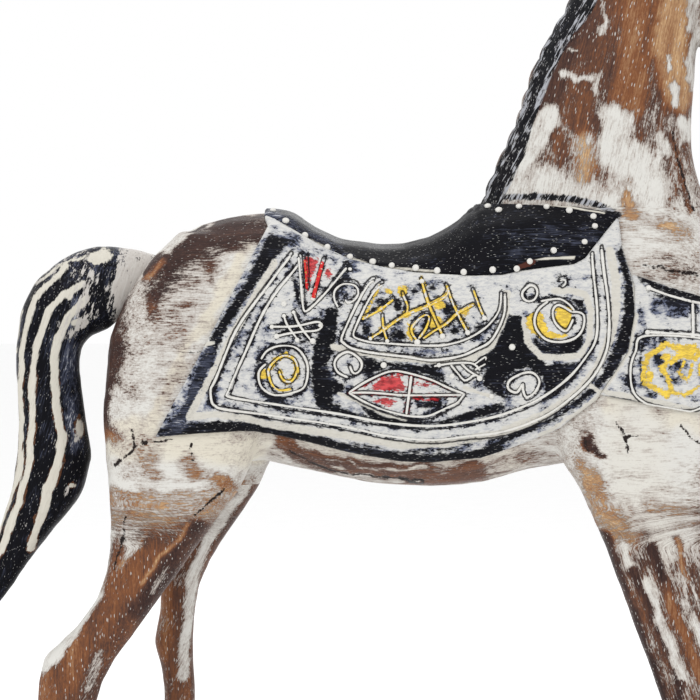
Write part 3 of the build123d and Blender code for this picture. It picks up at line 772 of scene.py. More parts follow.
SEAT_DOTS = [
    (-42, 311), (-36.5, 307), (-28.5, 301), (-19, 296), (-9.5, 292), (0, 290), (8, 288.5), (18, 287.5),
    (27, 286.5), (38, 286), (50, 287), (60, 287.5), (65.5, 290.5), (75.5, 295), (88.5, 298.5),
    (93, 305), (92.5, 309), (82.5, 311.5), (73, 313), (61.5, 313), (53, 311.5), (48.5, 313),
]


def footing(tree, a, z, side):
    """Where a point seen from a side meets the outer surface, and the normal there.

    side -1 and 1 look along y and a is x; side 0 looks at the chest and a is y.
    """
    start = Vector((a, side * RAY_START, z)) if side else Vector((RAY_START_X, a, z))
    look = Vector((0, -side, 0)) if side else Vector((-1, 0, 0))
    hit, normal, _, _ = tree.ray_cast(start * MM, look)
    if hit is None:
        return None
    return np.array(hit) / MM, np.array(normal)


def cord(vertices, faces, path, norms, radius, closed):
    """Adds a tube of squeezed paint, half sunk in the surface."""
    ring = 8
    start = len(vertices)
    count = len(path)
    for i in range(count):
        back = path[(i - 1) % count if closed else max(i - 1, 0)]
        ahead = path[(i + 1) % count if closed else min(i + 1, count - 1)]
        along = (ahead - back) / max(np.linalg.norm(ahead - back), 1e-6)
        up = norms[i] - along * np.dot(norms[i], along)
        up /= np.linalg.norm(up)
        across = np.cross(along, up)
        end = min(i, count - 1 - i)
        size = radius[i] * (1.0 if closed or end > 0 else 0.55)
        middle = path[i] + up * radius[i] * 0.25
        for k in range(ring):
            turn = 2 * math.pi * k / ring
            vertices.append(middle + size * (across * math.cos(turn) + up * math.sin(turn)))
    rows = count if closed else count - 1
    for i in range(rows):
        a, b = start + i * ring, start + (i + 1) % count * ring
        for k in range(ring):
            j = (k + 1) % ring
            faces.append((a + k, a + j, b + j, b + k))
    if not closed:
        faces.append(tuple(start + k for k in reversed(range(ring))))
        faces.append(tuple(start + (count - 1) * ring + k for k in range(ring)))


def drop(vertices, faces, middle, normal, radius):
    """Adds a domed drop of paint sitting on the surface."""
    turn, rows = 12, 5
    across = np.cross(normal, (0.3, 0.1, 1.0))
    across /= np.linalg.norm(across)
    other = np.cross(normal, across)
    start = len(vertices)
    low_pole = middle - normal * radius * DROP_HEIGHT
    high_pole = middle + normal * radius * DROP_HEIGHT
    for row in range(1, rows):
        lift = math.pi * row / rows
        for k in range(turn):
            angle = 2 * math.pi * k / turn
            flat = across * math.cos(angle) + other * math.sin(angle)
            upward = normal * DROP_HEIGHT * math.cos(lift)
            vertices.append(middle + radius * (flat * math.sin(lift) - upward))
    vertices += [low_pole, high_pole]
    low, high = len(vertices) - 2, len(vertices) - 1
    for row in range(rows - 2):
        for k in range(turn):
            a, b = start + row * turn + k, start + row * turn + (k + 1) % turn
            faces.append((a, b, b + turn, a + turn))
    last = start + (rows - 2) * turn
    for k in range(turn):
        faces.append((low, start + (k + 1) % turn, start + k))
        faces.append((high, last + k, last + (k + 1) % turn))


rng = np.random.default_rng(7)


def raised(name, bases, side, lines, drops=(), tints=()):
    """Raised paint on one side: piping lines and drops; tints is one number a line."""
    tree = ray_tree(bases)
    vertices, faces, colour = [], [], []
    for number, (size, line) in enumerate(lines):
        closed = line[0] == line[-1]
        path, norms = [], []
        for x, z in smooth_line(line, 0.7):
            found = footing(tree, x, z, side)
            if found:
                path.append(found[0])
                norms.append(found[1])
        if len(path) < 3:
            continue
        path = np.array(path)
        if not closed:
            path[1:-1] = (path[:-2] + 2 * path[1:-1] + path[2:]) / 4
        wobble = rng.normal(0, 1, len(path))
        wobble = np.convolve(np.pad(wobble, 3, "wrap"), np.ones(7) / 7, "valid")
        radius = PIPING_SCALE * size * (1 + 0.28 * wobble)  # pressed unevenly by hand
        before = len(vertices)
        cord(vertices, faces, path, norms, radius, closed)
        colour += [tints[number] if len(tints) else 0] * (len(vertices) - before)
    for x, z, size in drops:
        found = footing(tree, x, z, side)
        if found:
            before = len(vertices)
            size *= rng.uniform(0.92, 1.1)
            drop(vertices, faces, found[0] + found[1] * size * 0.2, found[1], size)
            colour += [0] * (len(vertices) - before)
    mesh = bpy.data.meshes.new(name)
    mesh.from_pydata((np.array(vertices) * MM).tolist(), [], faces)
    smooth_shaded(mesh)
    store(mesh, "tint", np.array(colour, float))
    store(mesh, "grain", np.array(vertices))
    obj = new_object(name, mesh)
    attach(obj, "root")
    return obj


trims = [raised("strap_piping_front", [sheets["breast_strap"][0]], 0, FRONT_PIPING, FRONT_BEADS)]
BLANKET_LINES = PIPING + YELLOW_PIPING + RED_PIPING
TINTS = [0] * len(PIPING) + [1] * len(YELLOW_PIPING) + [2] * len(RED_PIPING)
for side, word in ((-1, "right"), (1, "left")):
    blanket, seat = sheets["blanket_" + word][0], sheets["saddle_seat"][0]
    trims.append(raised("blanket_piping_" + word, [blanket], side,
                        BLANKET_LINES, BEADS, TINTS))
    trims.append(raised("strap_piping_" + word, [sheets["breast_strap"][0]], side,
                        STRAP_PIPING, STRAP_BEADS))
    dots = [(x, z, SEAT_DOT) for x, z in SEAT_DOTS]
    trims.append(raised("seat_dots_" + word, [seat, blanket], side, [], dots))

# --- where the paint lies ----------------------------------------------------
# Soft strokes: value, half width, softness, line.

WHITEWASH = [
    (0.15, 7, 4, [(-106, 289), (-111, 273), (-113, 248), (-112, 222)]),
    (0.12, 6, 3, [(-87, 286), (-74, 298), (-60, 303), (-49, 302)]),
    (0.25, 3, 2, [(-91, 286), (-91, 268)]), (0.3, 2, 2, [(-68, 289), (-66, 278)]),
    (0.9, 2, 2, [(-88, 293), (-76, 303), (-62, 309)]),
    (0.9, 6, 4, [(-55, 292), (-61, 276), (-68, 262)]), (0.6, 8, 4, [(-80, 276), (-84, 262)]),
    (0.8, 12, 5, [(-86, 240), (-84, 228)]), (0.85, 4, 2, [(-106, 232), (-105, 222)]),
    (0.97, 8, 3, [(-80, 212), (-51, 210)]), (0.86, 8, 3, [(-108, 205), (-90, 204)]),
    (0.52, 4, 3, [(-96, 212), (-93, 203)]), (0.5, 3.5, 2.5, [(-79, 206), (-76, 202)]),
    (0.34, 3, 1.5, [(-64, 200), (-58, 196)]), (1.05, 1.9, 1.0, [(-112, 196.2), (-70, 196.0)]),
    (0.5, 8, 3, [(-114, 186), (-58, 188)]), (0.66, 5, 3, [(-102, 176), (-98, 168)]),
    (0.08, 3.5, 2, [(-74, 178), (-86, 160), (-98, 144), (-112, 126)]),
    (0.14, 6, 3, [(-92, 168), (-106, 150), (-122, 128), (-138, 104)]),
    (0.95, 2.6, 1.6, [(-110, 176), (-116, 150), (-128, 131), (-138, 121)]),
    (0.6, 1.5, 1.5, [(-86, 162), (-92, 152)]), (0.65, 2, 2, [(-113, 127), (-120, 112)]),
    (0.22, 4.5, 2, [(-37, 212), (-9, 203), (24, 199), (47, 202)]),
    (0.75, 0.7, 1, [(-20, 208), (0, 203.5), (20, 201.5)]), (0.6, 1.5, 1, [(-30, 203), (20, 195)]),
    (0.58, 4, 3, [(52, 203), (72, 207)]), (0.95, 12, 5, [(106, 222), (113, 200)]),
    (0.95, 9, 5, [(129, 222), (131, 205)]), (0.8, 8, 4, [(120, 190), (128, 172)]),
    (0.22, 1.8, 1, [(90, 215), (97, 210)]), (0.4, 4, 3, [(88, 205), (95, 194)]),
    (0.38, 4, 3, [(97, 186), (104, 178)]), (0.6, 4, 3, [(116, 190), (128, 184)]),
    (0.66, 4, 3, [(136, 200), (142, 184)]), (0.9, 1.6, 1.2, [(105, 172), (108.5, 161)]),
    (0.05, 2.6, 1.5, [(97, 174), (108, 142), (121, 106)]),
    (0.1, 2.0, 1.5, [(109, 160), (125, 126), (129, 106)]), (0.88, 2.0, 1.6, [(115, 156), (129, 116)]),
    (0.1, 1.8, 1.4, [(117.5, 171), (125, 149), (137.5, 115)]),
    (0.88, 2.2, 1.6, [(130, 160), (138, 132)]), (0.3, 1.2, 1.0, [(127.5, 174), (133, 151), (138, 138)]),
    (0.1, 6, 4, [(95, 430), (85, 405), (78.5, 374), (74.5, 357)]),
    (0.14, 6, 4, [(108, 432), (99, 405), (91.5, 374), (87, 350)]),
    (0.08, 7, 4, [(121, 432), (113, 405), (108, 374), (106, 356)]),
    (0.16, 8, 4, [(134, 430), (128, 405), (124, 378), (127, 361)]),
    (0.85, 1.2, 1.4, [(98, 397), (96, 386)]), (0.8, 1.0, 1.0, [(84, 381), (86, 379)]),
    (0.85, 1.5, 1.5, [(81, 366), (95, 368), (95.5, 362)]),
    (0.95, 5, 2.5, [(76, 351), (66, 340), (58, 328), (62, 322)]), (0.88, 6, 3, [(60, 325), (74, 324)]),
    (0.8, 3.5, 2.5, [(67, 338), (71, 346)]), (0.84, 4, 2, [(82, 320), (96, 317), (110, 316)]),
    (0.22, 2.2, 1.5, [(77, 343), (80, 333)]),
    (0.97, 6.5, 2.5, [(103, 351), (100, 341), (104, 333), (113, 331), (117, 319)]),
    (0.85, 2.5, 1.5, [(120, 342), (121, 336)]), (0.46, 3.2, 2.5, [(88, 341), (90.5, 333), (88, 325)]),
    (0.9, 1.0, 1.0, [(124, 375), (124, 371)]), (0.92, 1.8, 1.2, [(126.5, 365), (127, 357)]),
    (0.92, 2.2, 1.2, [(131, 352), (132, 343)]), (0.85, 2.4, 1.4, [(135, 405), (135, 365)]),
    (0.2, 1.3, 1.0, [(125, 345), (128, 332), (131.5, 322), (135, 311)]),
    (0.85, 8, 4, [(112, 302), (138, 298)]), (0.45, 3, 3, [(122, 308), (133, 303)]),
    (0.3, 2, 2, [(104, 316), (108, 309)]), (0.85, 4, 3, [(160, 452), (166, 430), (170, 405)]),
    (0.2, 4, 3, [(142, 452), (146, 425), (152, 400)]), (0.8, 3, 3, [(112, 430), (124, 446)]),
]
WOOD_TONE = [
    (0.2, 9, 4, [(-106, 289), (-113, 248), (-112, 222)]),
    (0.16, 9, 4, [(-90, 284), (-74, 298), (-49, 302)]), (0.66, 14, 4, [(-108, 206), (-62, 200)]),
    (0.74, 8, 3, [(-114, 187), (-58, 189)]), (0.22, 4, 2, [(-74, 178), (-86, 160), (-98, 144)]),
    (0.52, 7, 3, [(-98, 166), (-112, 146), (-128, 122), (-140, 100)]),
    (1.0, 0.4, 1.3, [(-77, 180), (-84, 171), (-88, 168), (-97, 155)]),
    (0.9, 0.3, 1.1, [(-95, 178), (-105, 162)]), (0.72, 0.7, 1.2, [(-88, 289), (-95, 281)]),
    (0.4, 6, 2, [(-37, 212), (24, 199), (60, 202)]), (0.8, 9, 4, [(88, 205), (96, 192), (104, 178)]),
    (0.78, 6, 4, [(116, 190), (128, 184)]), (0.15, 1.8, 1, [(90, 215), (97, 210)]),
    (0.16, 3, 1.5, [(97, 174), (108, 142), (121, 106)]),
    (0.18, 2.0, 1.5, [(109, 160), (125, 126), (129, 106)]),
    (0.15, 2.0, 1.4, [(117.5, 171), (122, 158)]), (0.58, 2.0, 1.4, [(125, 149), (137.5, 115)]),
    (0.74, 0.8, 1.0, [(127.5, 174), (131, 157)]),
    (0.24, 7, 4, [(95, 430), (85, 405), (78.5, 374), (74.5, 357), (62, 330)]),
    (0.38, 5, 3, [(108, 432), (99, 405), (91.5, 374), (87, 350)]),
    (0.58, 6, 3, [(121, 432), (113, 405), (108, 374), (106, 356)]),
    (0.76, 7, 3, [(134, 430), (129, 405), (125, 378), (129, 361)]),
    (0.86, 4, 3, [(88, 340), (90.5, 332), (88, 323)]),
    (0.45, 2, 2, [(125, 345), (128, 332), (131.5, 322)]),
    (0.78, 9, 4, [(104, 316), (112, 304), (138, 300)]),
]
CREAM_TINT = [
    (0.85, 8, 3, [(-106, 216), (-51, 213)]), (0.9, 2.2, 1.2, [(-49, 304), (-72, 262), (-96, 218)]),
    (0.6, 6, 4, [(-40, 216), (10, 205), (60, 207)]), (0.8, 5, 3, [(100, 229), (137, 222)]),
    (0.3, 12, 6, [(108, 218), (117, 164)]),
]
CRACKS = [
    [(-76.5, 214), (-76.8, 210.5), (-76, 207)], [(-101, 219.5), (-99.5, 214), (-108, 204)],
    [(-96, 216), (-94.5, 214.5)], [(-99.5, 214.5), (-84, 217)],
    [(100.5, 224), (105.5, 217.5), (106.5, 212)], [(105.5, 217.5), (110, 218.5)],
    [(89, 216), (91, 212)], [(128, 220), (134, 215), (141, 213)], [(-79, 251.6), (-69, 251.7)],
    [(126, 346), (128, 334), (132, 322), (136, 311)], [(-35, 210), (-10, 200.5), (22, 197)],
    [(113, 288), (125, 286), (138, 285)], [(155, 376), (164, 375.6), (176, 377)],
    [(-103, 184), (-105, 170), (-108, 160)], [(-74, 184), (-68, 190), (-62, 196)],
]
FAR_LEG_WHITE = [
    (0.85, 2.6, 1.4, [(-53.5, 194.5), (-69.5, 171), (-76.5, 155.5), (-79, 135), (-81, 113)]),
    (0.6, 3.0, 2.0, [(-86, 190), (-60, 192)]),
]
FAR_LEG_TONE = [(0.30, 3, 3, [(-48, 190), (-66, 165)]), (0.55, 3, 2, [(-88, 150), (-90, 120)])]
# How light the whitewash is between the strokes, by node.
BASE_WHITE = {"torso_upper": 0.70, "torso_lower": 0.74, "neck": 0.48, "head": 0.55}
BLANKET_BLACK = {
    "lines": [
        (3.2, [(51, 213), (45, 209.5), (25, 207.9), (11.5, 208.3), (-9.5, 212), (-26.3, 216.3),
         (-43, 220), (-56, 221), (-72.5, 220.5), (-86, 219)]),
        (0.35, [(-9.5, 216), (10.5, 211.8), (31, 213.2), (55, 219.5)]),
        (0.9, [(-17, 277.5), (-10, 285.5)]),
        (0.5, [(-47, 240), (-48.8, 245.5), (-47, 250.5), (-42.5, 254.6), (-37, 255.4), (-31.5, 253.6)]),
        (0.3, [(-45, 236.5), (-39, 234), (-32, 235.6)]),
        (0.4, [(-42, 285), (-50, 270), (-58, 256), (-64, 243), (-67.5, 232)]),
        (0.3, [(-22, 279), (-17.5, 275)]), (0.4, [(-62, 228.6), (-50, 226.8)]),
        (0.5, [(60, 220.7), (70, 225.6), (80, 232.5)]),
    ],
    "areas": [
        (0, [(-43, 300.5), (-53, 281), (-65.5, 262.5), (-73.5, 245.5), (-77.5, 233), (-86, 220.5),
         (-76.5, 225.5), (-72.5, 237.5), (-66.5, 250), (-60, 263.5), (-48, 281), (-34.5, 298)]),
        (0, [(104, 296), (108.5, 279.5), (109.5, 268), (106.5, 254), (100.5, 243.5), (95, 237.5),
         (85, 229.5), (70, 222), (55, 216), (51, 214), (51, 216.5), (62.5, 221.5), (77.5, 227),
         (90.5, 237.5), (96, 243.5), (101.5, 257), (104.5, 270), (105, 282), (101.5, 293)]),
        (0, [(-25, 254), (-19.5, 270.5), (-14.5, 270.5), (-15.5, 256), (-11.5, 254.5), (-17, 252),
         (-19, 248), (-17, 243), (-12.5, 240), (-11.5, 237.5), (-16.5, 235), (-17, 232), (-11.5, 229.5),
         (2.5, 225), (-13.5, 227), (-23, 230), (-25.5, 239.5)]),
        (0, [(-4.5, 251), (3.5, 249), (13.5, 248), (24, 247), (28.5, 244.5), (30.5, 240), (24, 243),
         (13.5, 246), (8, 247), (1, 244.5), (-3, 243), (-3.5, 247)]),
        (0, [(55, 268), (62, 268), (63.5, 258.5), (68.5, 252), (72.5, 248), (87, 248.5), (91.5, 252),
         (85, 243), (76.5, 235), (72.5, 233.5), (70.5, 243), (64, 247), (56, 243.5), (54, 238.5),
         (55.5, 233), (51.5, 235), (45, 239.5), (47, 245.5), (46, 251), (50, 256), (53.5, 261)]),
        (0, [(-7.5, 233.5), (4, 227.5), (15, 224.8), (28.5, 224.8), (41, 229), (53.5, 232),
         (55.5, 229.5), (45, 226), (28.5, 223.2), (11.5, 223.2), (0, 225)]),
        (0, [(17, 232.8), (29, 232.5), (28.5, 229.5), (18.5, 230)]),
        (0, [(-35, 287), (-31.5, 282), (-29.8, 270.5), (-32.5, 274.5)]),
        (0.4, [(67, 258), (71.5, 256), (77.5, 255), (84, 258), (87.5, 260), (86.5, 255), (84, 252),
         (76, 252), (71.5, 252.5), (68, 255)]),
        (0, [(82, 275), (87.5, 274), (88.5, 270.5), (85.5, 271)]),
    ],
    "discs": [
        (10.5, 271.5, 1.8, 2.8), (11, 259.7, 3.4, 1.9), (31, 270, 1.9, 2.2), (34.5, 261.5, 2.4, 1.2),
        (22.3, 264.5, 1.1, 2.4), (-16.5, 230, 2.8, 1.6), (-37.5, 260.8, 2.4, 1.0), (50, 245, 2, 3),
        (-31, 261.5, 1.3, 1.8), (-27, 260, 1.7, 1.1), (-34, 265.3, 1.5, 0.8), (-29, 257, 1.8, 0.8),
        (-24.5, 264.5, 1.3, 1.0), (-3, 262, 1.8, 2.4), (3, 273, 1.8, 1.4), (17.5, 277, 1.5, 1.3),
        (25, 278.5, 1.4, 1.1), (44, 262.5, 1.4, 2.2),
    ],
}
BLANKET_CREAM = {
    "lines": [
        (1.5, [(-41, 289), (-50.5, 273), (-61.5, 254), (-70, 238), (-76.5, 226)]),
        (1.5, [(-76.5, 226), (-65.5, 227), (-46.5, 224), (-13, 219), (11.5, 214.6), (31, 215.4),
         (53.5, 219.6)]),
        (1.9, [(99, 294), (101.3, 281.5), (101, 269.5), (98.5, 257.5), (93.5, 245.5), (85, 236),
         (70.5, 226.3), (55, 220.5)]),
        (0.9, [(109, 281), (110.5, 268), (107.8, 253), (97, 236.5), (86, 227), (70, 219)]),
        (1.4, [(-16.5, 255), (-8, 253), (11.5, 250.2), (28.5, 248.8), (41, 250.5), (49.5, 255.5),
         (55, 268), (56, 277)]),
        (1.3, [(63, 266), (64.5, 257), (70, 251), (77.5, 250.6), (86.5, 251.6), (90.3, 258.5),
         (90.8, 270), (88.5, 276.5), (82, 278.3), (75.5, 278)]),
        (0.7, [(-14, 236), (-7, 233), (4, 227.5), (13.5, 225.3)]),
        (0.8, [(38, 238.5), (44, 236), (49.5, 234.5)]), (0.7, [(-70, 255.8), (-66.5, 256.6)]),
        (1.0, [(91, 239), (94.5, 236.5)]),
    ],
}
BLANKET_YELLOW = {
    "lines": [
        (0.9, [(-42, 247), (-40, 250.5), (-36, 252), (-32.5, 250), (-31.5, 245.5), (-32.5, 242.5),
         (-35.5, 240.5), (-38, 242.5), (-38.5, 245)]),
        (0.7, [(20.5, 282), (23.5, 272), (28.5, 261)]),
        (0.5, [(-1, 258.5), (4.5, 262), (13.5, 268), (23.5, 272), (30.5, 276), (31.5, 280)]),
        (0.5, [(21, 258.5), (26, 262), (30.5, 264.5), (35.5, 269), (42, 272.5)]),
        (0.5, [(31, 280), (34, 271.5), (39.5, 262)]), (0.5, [(-4, 266.5), (0, 274), (3, 279)]),
    ],
    "areas": [
        (0, [(64, 266.5), (67, 269.5), (70, 269.5), (73, 261.5), (81, 260), (79, 258.5), (71.5, 258.5),
         (66, 260.5), (64, 264)]),
        (0, [(76.5, 271.5), (83, 271.5), (83, 264), (79.5, 262), (75.5, 266)]),
    ],
    "discs": [
        (-45.5, 243.5, 2.3, 2.0), (12.5, 277, 2.2, 1.8), (3, 270, 1.3, 1.4), (4, 262, 1.7, 1.3),
        (14, 268, 1.8, 1.4), (15.5, 261, 1.6, 3.2), (26, 265, 3.2, 2.6), (28, 271.5, 2.4, 1.8),
        (38, 269, 1.9, 1.3), (6.5, 277, 1.4, 1.0),
    ],
}
BLANKET_RED = {
    "lines": [
        (0.5, [(18, 240), (23, 239.4)]), (0.5, [(8, 244.6), (20, 242.5), (31, 238)]),
        (0.9, [(16, 243), (15, 235), (14, 228)]), (0.4, [(-9, 236), (13, 235.2), (35, 235)]),
        (0.5, [(17, 233.8), (27, 233.6)]), (0.4, [(-10, 236), (3, 242.8)]),
    ],
    "areas": [
        (0, [(-29, 291), (-23.5, 290), (-25.5, 284), (-27.5, 277.5)]),
        (0, [(-0.5, 238.5), (4, 243), (11, 243), (13.5, 238.5), (12, 237), (1, 237.3)]),
        (0, [(-0.5, 232.5), (5, 234), (10, 232.5), (6.5, 230.8)]),
    ],
    "discs": [
        (-19, 284, 1.2, 1.9),
    ],
}
# how strong the blue-grey drybrushing and painted sheen are on the blanket's black, and the blue-grey
# drybrush grime on its white
BLANKET_DRYBRUSH_AND_SHEEN = [
    (0.72, 5, 3, [(-70, 250), (-78, 232), (-84, 222)]), (0.6, 4, 3, [(-34, 297), (-12, 288), (8, 284)]),
    (0.7, 1.2, 1.0, [(-10, 256), (0, 254.5), (20, 253), (36, 254.5), (46, 260), (52, 268)]),
    (0.6, 5, 4, [(-52, 256), (-46, 262)]), (0.65, 3, 2, [(-55, 238), (-45, 232), (-30, 231)]),
    (0.6, 3, 2, [(-12, 277), (-9, 276)]), (0.5, 2, 2, [(-11, 248), (-9, 248)]),
    (0.75, 2, 1.5, [(-66, 234), (-70, 229)]), (0.55, 3, 3, [(76, 282), (86, 281)]),
    (0.1, 2, 1, [(30, 218), (60, 222)]), (0.55, 2, 1.5, [(70, 232), (88, 248), (93, 262)]),
]
STRAP_BLACK = {
    "lines": [
        (1.0, [(111, 283), (119.5, 279.8), (128, 277), (137.5, 273.8), (150, 270), (170, 266)]),
        (0.7, [(99.8, 234), (108, 232.6), (119.5, 230.2), (137.5, 226), (170, 221.5)]),
        (0.5, [(112.5, 256), (111.5, 248), (112.5, 240), (116, 235)]),
        (0.4, [(117, 276.5), (126, 273.5), (133.5, 271)]),
    ],
    "discs": [
        (138, 241, 1.0, 2.6), (123.5, 236, 1.4, 0.6), (127, 247.8, 1.4, 1.1), (119.5, 249.5, 0.9, 1.2),
        (126, 241, 1.3, 0.8), (121, 257, 2.4, 0.7),
    ],
}
STRAP_CREAM = {
    "lines": [
        (0.9, [(112, 286), (128, 279.5), (137.5, 276), (150, 273), (170, 269)]),
        (1.2, [(96, 237), (106.5, 252.8), (109.4, 268)]),
        (1.2, [(98, 236), (120, 231.8), (137.5, 227.5), (170, 223)]),
    ],
}
STRAP_YELLOW = {
    "lines": [
        (1.1, [(114.5, 251), (118.5, 253.5), (122, 256), (126, 254.5), (133.5, 254.5), (136, 252),
         (134, 250), (128.5, 251), (124, 248.5), (120, 246), (122.5, 243), (124, 237.5), (122.5, 234.5),
         (118.5, 237.5), (113.5, 239.5), (113, 245.5), (114.5, 251)]),
        (0.7, [(124, 236), (130, 235), (135, 238)]),
        (0.6, [(133, 247), (131, 241), (127.5, 244), (129.5, 248.5)]),
    ],
    "discs": [
        (131, 252.8, 4.4, 2.2), (136.5, 246, 1.4, 3.4), (122.5, 250.5, 2.2, 1.8), (115, 243, 1.6, 2.4),
    ],
}
# how strong the blue-grey drybrushing and painted sheen are on the strap's black, and the drybrush
# grime on its white
STRAP_DRYBRUSH_AND_SHEEN = [
    (1.15, 3.4, 1.6, [(118, 271), (129, 269.5)]), (0.7, 2, 1.5, [(112, 270), (113, 262)]),
    (0.55, 3, 2, [(116, 250), (124, 243), (133, 244)]), (0.6, 2, 1.5, [(104, 243), (110, 238)]),
]

UPRIGHT, NECK_LEAN = (0.22, 1.0), (0.5, 0.87)  # directions (x, z)
FORE_LEAN, HIND_LEAN = (-0.33, 0.94), (0.5, 0.86)
FORE_LEG_X, HIND_LEG_X = 112, -85
HOOF_HEIGHT = 24
SEAT_FRONT_WIDTH = 1.3


def crevices(x, z, lines, reach=3.0):
    """Distance in the side view to the middle of the nearest piping."""
    best = np.full(len(x), reach)
    for _, line in lines:
        curve = smooth_line(line, 1.6)
        if line[0] == line[-1]:
            curve = np.vstack([curve, curve[:1]])
        low, high = curve.min(0) - reach, curve.max(0) + reach
        near = (x > low[0]) & (x < high[0]) & (z > low[1]) & (z < high[1])
        best[near] = np.minimum(best[near], line_distance(x[near], z[near], curve))
    return best


def add_to(mesh, name, chosen, values):
    """Joins more signed distances into a stored field, for the chosen vertices."""
    layer = mesh.attributes[name].data
    flat = np.empty(len(layer), np.float32)
    layer.foreach_get("value", flat)
    flat[chosen] = np.minimum(flat[chosen], values)
    layer.foreach_set("value", flat)


def layers(mesh, place, **shapes):
    """Stores signed distances to painted shapes and the grain on a mesh."""
    x, z = place[:, 0], place[:, 2]
    store(mesh, "grain", place)
    for name in ("black", "cream", "yellow", "red"):
        if name in shapes:
            store(mesh, name, nearest_shape(x, z, shapes[name]))
    if "dry" in shapes:
        store(mesh, "dry", field(x, z, shapes["rest"], shapes["dry"]))
    if "piping" in shapes:
        store(mesh, "groove", crevices(x, z, shapes["piping"]))


for word in ("right", "left"):
    obj, place = sheets["blanket_" + word]
    layers(obj.data, place, black=BLANKET_BLACK, cream=BLANKET_CREAM, yellow=BLANKET_YELLOW,
           red=BLANKET_RED, dry=BLANKET_DRYBRUSH_AND_SHEEN, rest=0.28, piping=BLANKET_LINES)
obj, place = sheets["breast_strap"]
layers(obj.data, place, black=STRAP_BLACK, cream=STRAP_CREAM, yellow=STRAP_YELLOW,
       red={}, dry=STRAP_DRYBRUSH_AND_SHEEN, rest=0.22, piping=STRAP_PIPING)
chest = place[:, 0] > FRONT_X
seen = place[chest]
add_to(obj.data, "black", chest, nearest_shape(seen[:, 1], seen[:, 2], FRONT_BLACK))
add_to(obj.data, "yellow", chest, nearest_shape(seen[:, 1], seen[:, 2], FRONT_YELLOW))
add_to(obj.data, "groove", chest, crevices(seen[:, 1], seen[:, 2], FRONT_PIPING))
SEAT_RIM = {
    "lines": [
        (0.3, [(-40, 305.5), (-27, 297.8), (-14, 291), (3, 286.5), (28, 285)]),
        (0.5, [(47, 313.6), (60, 314.5), (82, 312.6), (97, 309.8)]),
    ],
    "areas": [
        (0, [(66, 290.2), (72, 291.4), (84.5, 292), (84, 290.6), (75, 290.6)]),
    ],
}
# how strong the blue-grey drybrushing and painted sheen are on the seat's black
SEAT_DRYBRUSH_AND_SHEEN = [
    (0.75, 3, 2, [(-44, 308), (-28, 298), (-10, 289)]), (0.45, 6, 4, [(60, 300), (90, 300)]),
    (0.15, 8, 5, [(0, 292), (40, 290)]),
]
obj, place = sheets["saddle_seat"]
layers(obj.data, place, cream=SEAT_RIM, dry=SEAT_DRYBRUSH_AND_SHEEN, rest=0.25,
       red={"lines": [(1.0, [(60, 287.2), (67, 289.6)])]})


def swayed(points, reach):
    """The side view's x and z with hand-made wandering, for painted strokes."""
    drift = [reach * value_noise(points, 10, seed)
             + 0.5 * reach * value_noise(points, 3.5, seed + 2) for seed in (31, 32)]
    return points[:, 0] + drift[0], points[:, 2] + 1.3 * drift[1]


def along(points, lean):
    """Coordinates along and across a direction (x, z), then y."""
    x, y, z = points.T
    return np.stack([lean[0] * x + lean[1] * z, lean[1] * x - lean[0] * z, y], axis=1)


def grain_fields(points, node):
    """The directions of the pores, the mane's strands and the brush strokes."""
    x, y, z = points.T
    if "torso" in node:
        return points, points, points
    if "leg" not in node:
        grain = along(points, UPRIGHT)
        return grain, along(points, NECK_LEAN), grain
    fore = "fore" in node
    strand = along(points, FORE_LEAN if fore else HIND_LEAN)
    # just under the joint with the trunk the grain lies level again, as in the photo
    middle = FORE_LEG_X if fore else HIND_LEG_X
    share = smoothstep(LEG_JOINT_Z - 20, LEG_JOINT_Z - 2, z)[:, None]
    upright = np.stack([z + middle - LEG_JOINT_Z, x, y], axis=1)
    level = np.stack([x, middle + LEG_JOINT_Z - z, y], axis=1)
    grain = upright + share * (level - upright)
    share = smoothstep(LEG_JOINT_Z - 24, LEG_JOINT_Z - 6, z)[:, None]
    return grain, strand, strand + share * (grain - strand)


def whitewash(points, node):
    """How thick the whitewash is, how light the wood under it and how creamy it is."""
    z = points[:, 2]
    wx, wz = swayed(points, 1.1 if "leg" in node else 2.6)
    tx, tz = swayed(points, 1.0 if "leg" in node else 1.8)
    warm = field(wx, wz, 0.12, CREAM_TINT)
    if node == "hind_leg_left":
        return field(wx, wz, 0.26, FAR_LEG_WHITE), field(tx, tz, 0.42, FAR_LEG_TONE), warm
    base = BASE_WHITE.get(node, 0.34)
    if node == "neck":
        base = base + 0.24 * smoothstep(336, 306, z)
    if "fore" in node:
        base = base + 0.10 + 0.28 * smoothstep(165, 196, z)
    white = field(wx, wz, 0, WHITEWASH)
    plain = field(wx, wz, 1, WHITEWASH)
    return white + (plain - white) * base, field(tx, tz, 0.40, WOOD_TONE), warm


def black_areas(points, node):
    """Signed distance to the black of the mane, the eye, the nostrils and the hooves."""
    x, _, z = points.T
    black = np.full(len(x), 6.0)
    if node in ("neck", "head", "torso_upper"):
        black = np.minimum(black, polygon_distance(x, z, MANE))
        black = np.minimum(black, line_distance(x, z, SEAT_FRONT_LINE) - SEAT_FRONT_WIDTH)
    if node == "head":
        black = np.minimum(black, polygon_distance(x, z, FORELOCK))
        black = np.minimum(black, 1.6 * (disc_distance(x, z, EYE) - 0.5))
        black = np.minimum(black, disc_distance(x, z, NOSTRIL))
    if "leg" in node:
        black = np.minimum(black, z - HOOF_HEIGHT - 0.12 * (x - x.mean()))
    return black


def cracks(points):
    """Distance to the cracks and to the broken lines of the glue joints."""
    x, z = swayed(points, 1.3)
    seams = []
    for joint in (TRUNK_JOINT_Z, NECK_JOINT_Z, HEAD_JOINT_Z):
        broken = 1.5 * (value_noise(points, 6, 21) > -0.1)
        seams.append(np.abs(points[:, 2] - joint) + broken + 0.55)
    return np.minimum.reduce([line_distance(x, z, line) for line in CRACKS] + seams)


